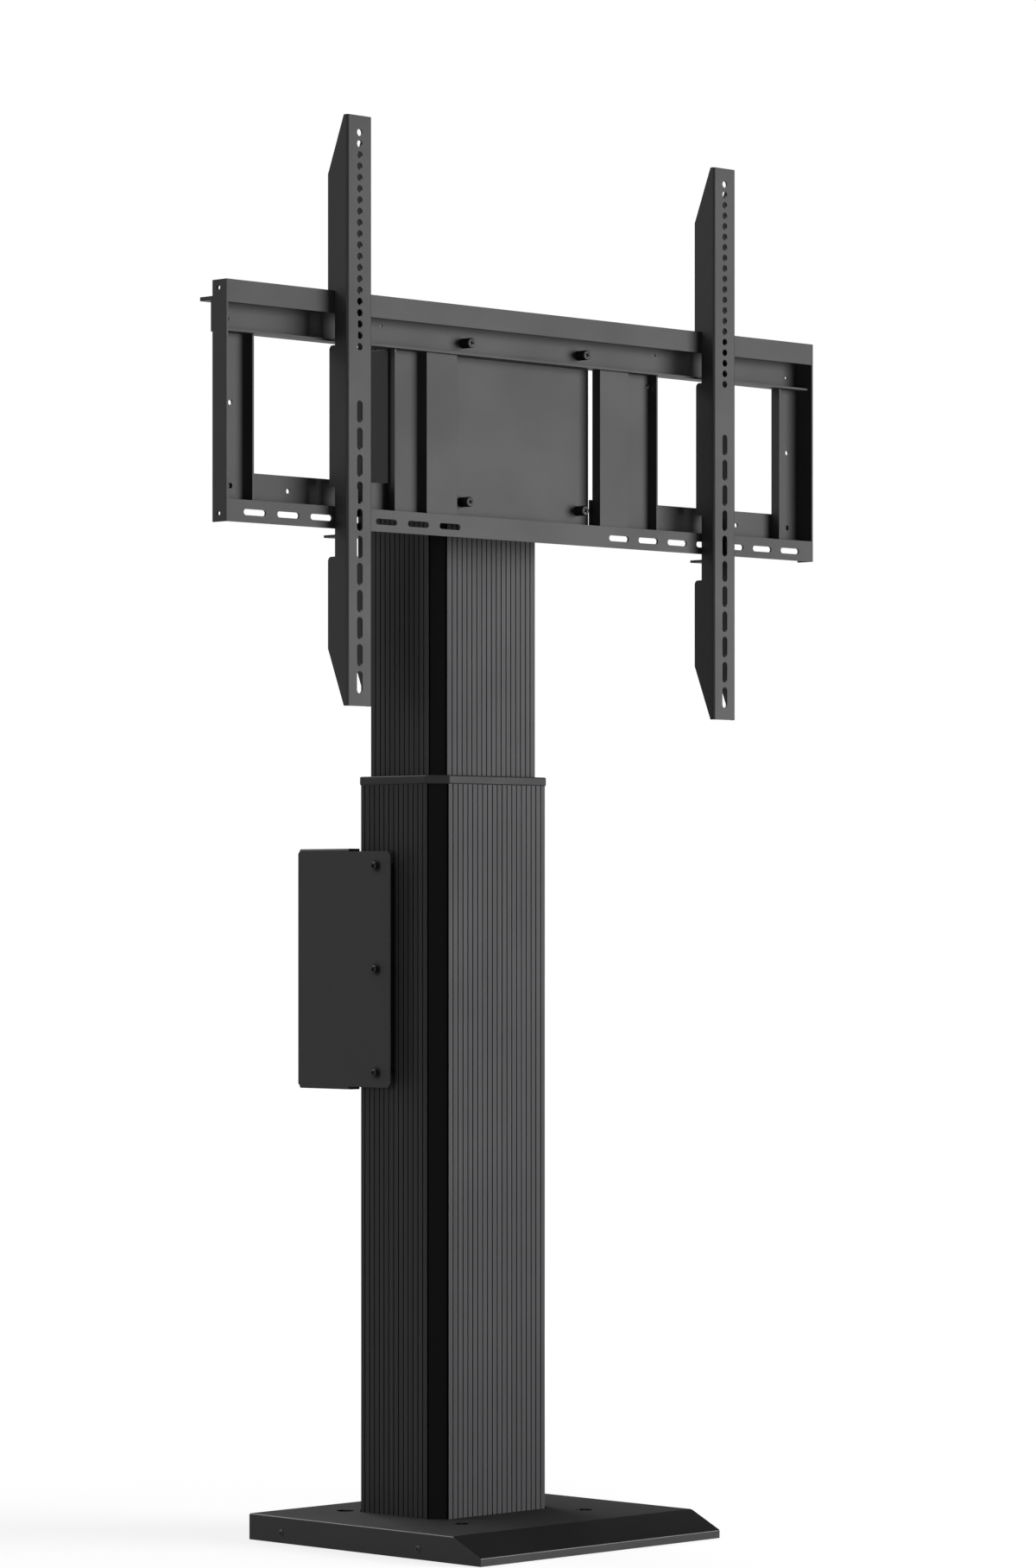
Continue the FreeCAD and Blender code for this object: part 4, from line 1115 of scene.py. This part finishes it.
@dataclass(frozen=True)
class Lamp:
    """A square soft lamp: its place, aim and side in metres and its power in watts."""

    name: str
    place: tuple[float, float, float]
    aim: tuple[float, float, float]
    side: float
    power: float

    def build(self) -> None:
        """Set the lamp up, turned to its aim."""
        data = bpy.data.lights.new(self.name, "AREA")
        data.shape = "SQUARE"
        data.size = self.side
        data.energy = self.power
        lamp = bpy.data.objects.new(self.name, data)
        lamp.location = self.place
        lamp.rotation_euler = (Vector(self.aim) - Vector(self.place)).to_track_quat("-Z", "Y").to_euler()
        bpy.context.scene.collection.objects.link(lamp)


@dataclass
class Studio:
    """The floor, the lights and the camera."""

    camera_place: tuple[float, float, float] = (-4.435, -4.427, 0.728)
    forward: tuple[float, float, float] = (0.712, 0.702, 0.0)
    lens: float = 123.8
    sensor: float = 36.0
    shift_y: float = 0.082
    clip_end: float = 200.0
    floor_half: float = 40.0
    floor_color: tuple[float, float, float, float] = (0.34, 0.34, 0.34, 1.0)
    floor_roughness: float = 0.9
    floor_span: tuple[float, float] = (0.4, 3.0)
    floor_glow: tuple[float, float] = (0.79, 1.0)
    ambient: float = 0.1
    wall_span: tuple[float, float] = (0.05, 0.35)
    wall_glow: tuple[float, float] = (0.8, 0.05)
    before_span: tuple[float, float] = (0.6, 0.92)
    before_glow: tuple[float, float] = (1.0, 0.1)
    behind_span: tuple[float, float] = (0.5, 0.95)
    behind_glow: tuple[float, float] = (1.0, 0.18)
    rim_side: tuple[float, float, float] = (-0.35, 0.4, 0.85)
    rim_span: tuple[float, float] = (0.72, 0.88)
    rim_glow: tuple[float, float] = (0.0, 5.0)
    lamps: tuple[Lamp, ...] = (
        Lamp("key", (2.6, -3.4, 1.3), (0.0, 0.0, 0.8), side=2.6, power=264.0),
        Lamp("side", (-4.0, -2.3, 0.9), (0.0, 0.0, 0.8), side=0.8, power=53.0),
        Lamp("top", (0.0, 0.4, 4.2), (0.0, 0.0, 0.0), side=2.4, power=6.0),
        Lamp("back", (0.6, 3.6, 2.2), (0.0, 0.0, 0.8), side=2.4, power=44.0),
    )

    def build(self) -> None:
        """Make the whole studio."""
        self.camera()
        self.floor()
        self.world()
        for lamp in self.lamps:
            lamp.build()
        bpy.context.scene.view_settings.view_transform = "Standard"

    def camera(self) -> None:
        """Set the level camera at the photograph's place."""
        data = bpy.data.cameras.new("studio_camera")
        data.lens = self.lens
        data.sensor_width = self.sensor
        data.sensor_fit = "AUTO"
        data.shift_y = self.shift_y
        data.clip_end = self.clip_end
        camera = bpy.data.objects.new("studio_camera", data)
        camera.location = self.camera_place
        camera.rotation_euler = Vector(self.forward).to_track_quat("-Z", "Y").to_euler()
        bpy.context.scene.collection.objects.link(camera)
        bpy.context.scene.camera = camera

    def seen(self, sketch: NodeSketch) -> bpy.types.NodeSocket:
        """Return a value that is 1 for camera, glossy and transmission rays.

        Args:
            sketch: the tree to draw in.

        Returns:
            The value.
        """
        path = sketch.add("ShaderNodeLightPath")
        both = sketch.math("MAXIMUM", path.outputs["Is Camera Ray"], path.outputs["Is Glossy Ray"])
        return sketch.math("MAXIMUM", both, path.outputs["Is Transmission Ray"])

    def floor(self) -> None:
        """Make the pale floor, which keeps the stand's soft shadow."""
        half = self.floor_half
        mesh = bpy.data.meshes.new("studio_floor")
        corners = [(-half, -half, 0.0), (half, -half, 0.0), (half, half, 0.0), (-half, half, 0.0)]
        mesh.from_pydata(corners, [], [(0, 1, 2, 3)])
        material = bpy.data.materials.new("studio_floor")
        material.use_nodes = True
        tree = material.node_tree
        sketch = NodeSketch(tree)
        paint = tree.nodes["Principled BSDF"]
        paint.inputs["Base Color"].default_value = self.floor_color
        paint.inputs["Roughness"].default_value = self.floor_roughness
        paint.inputs["Specular IOR Level"].default_value = 0.0
        glow = sketch.add("ShaderNodeEmission")
        far = sketch.add("ShaderNodeVectorMath", operation="LENGTH")
        sketch.join(sketch.add("ShaderNodeTexCoord").outputs["Object"], far.inputs[0])
        pale = sketch.ramp(far.outputs["Value"], self.floor_span, self.floor_glow)
        sketch.join(sketch.math("MULTIPLY", self.seen(sketch), pale), glow.inputs["Strength"])
        both = sketch.add("ShaderNodeAddShader")
        sketch.join(paint.outputs[0], both.inputs[0])
        sketch.join(glow.outputs[0], both.inputs[1])
        sketch.join(both.outputs[0], tree.nodes["Material Output"].inputs["Surface"])
        mesh.materials.append(material)
        floor = Workshop.to_object("studio_floor", mesh)

    def toward(self, sketch: NodeSketch, side: Vector) -> bpy.types.NodeSocket:
        """Return how far a ray of the surround points to one side.

        Args:
            sketch: the tree to draw in.
            side: the direction of that side.

        Returns:
            The cosine of the angle between them.
        """
        node = sketch.add("ShaderNodeVectorMath", operation="DOT_PRODUCT")
        sketch.join(sketch.add("ShaderNodeTexCoord").outputs["Generated"], node.inputs[0])
        node.inputs[1].default_value = side.normalized()
        return node.outputs["Value"]

    def world(self) -> None:
        """Make a white surround, whose reflection is bright up on the left and dark along the view."""
        world = bpy.data.worlds.new("studio_world")
        world.use_nodes = True
        tree = world.node_tree
        sketch = NodeSketch(tree)
        background = tree.nodes["Background"]
        background.inputs["Color"].default_value = (1.0, 1.0, 1.0, 1.0)
        upward = self.toward(sketch, Vector((0.0, 0.0, 1.0)))
        forward = Vector(self.forward)
        horizon = sketch.ramp(upward, self.wall_span, self.wall_glow)
        rim = sketch.ramp(self.toward(sketch, Vector(self.rim_side)), self.rim_span, self.rim_glow)
        before = sketch.ramp(self.toward(sketch, -forward), self.before_span, self.before_glow)
        behind = sketch.ramp(self.toward(sketch, forward), self.behind_span, self.behind_glow)
        wall = sketch.math("MULTIPLY", horizon, sketch.math("MULTIPLY", before, behind))
        mirrored = sketch.math("MAXIMUM", wall, rim)
        path = sketch.add("ShaderNodeLightPath")
        backdrop = sketch.math("MAXIMUM", mirrored, path.outputs["Is Camera Ray"])
        shown = sketch.math("MULTIPLY", backdrop, self.seen(sketch))
        sketch.join(sketch.math("MAXIMUM", shown, self.ambient), background.inputs["Strength"])
        bpy.context.scene.world = world


def main() -> None:
    """Build the studio and dress every sub-assembly in turn."""
    logging.basicConfig(level=logging.INFO, format="%(name)s: %(message)s")
    Studio().build()
    row = FastenerRow()
    Base().build(row)
    Column().build()
    Spindle().build()
    ControlBox().build(row)
    HangingFrame().build(row)
    DisplayRails().build()


if __name__ == "__main__":
    main()
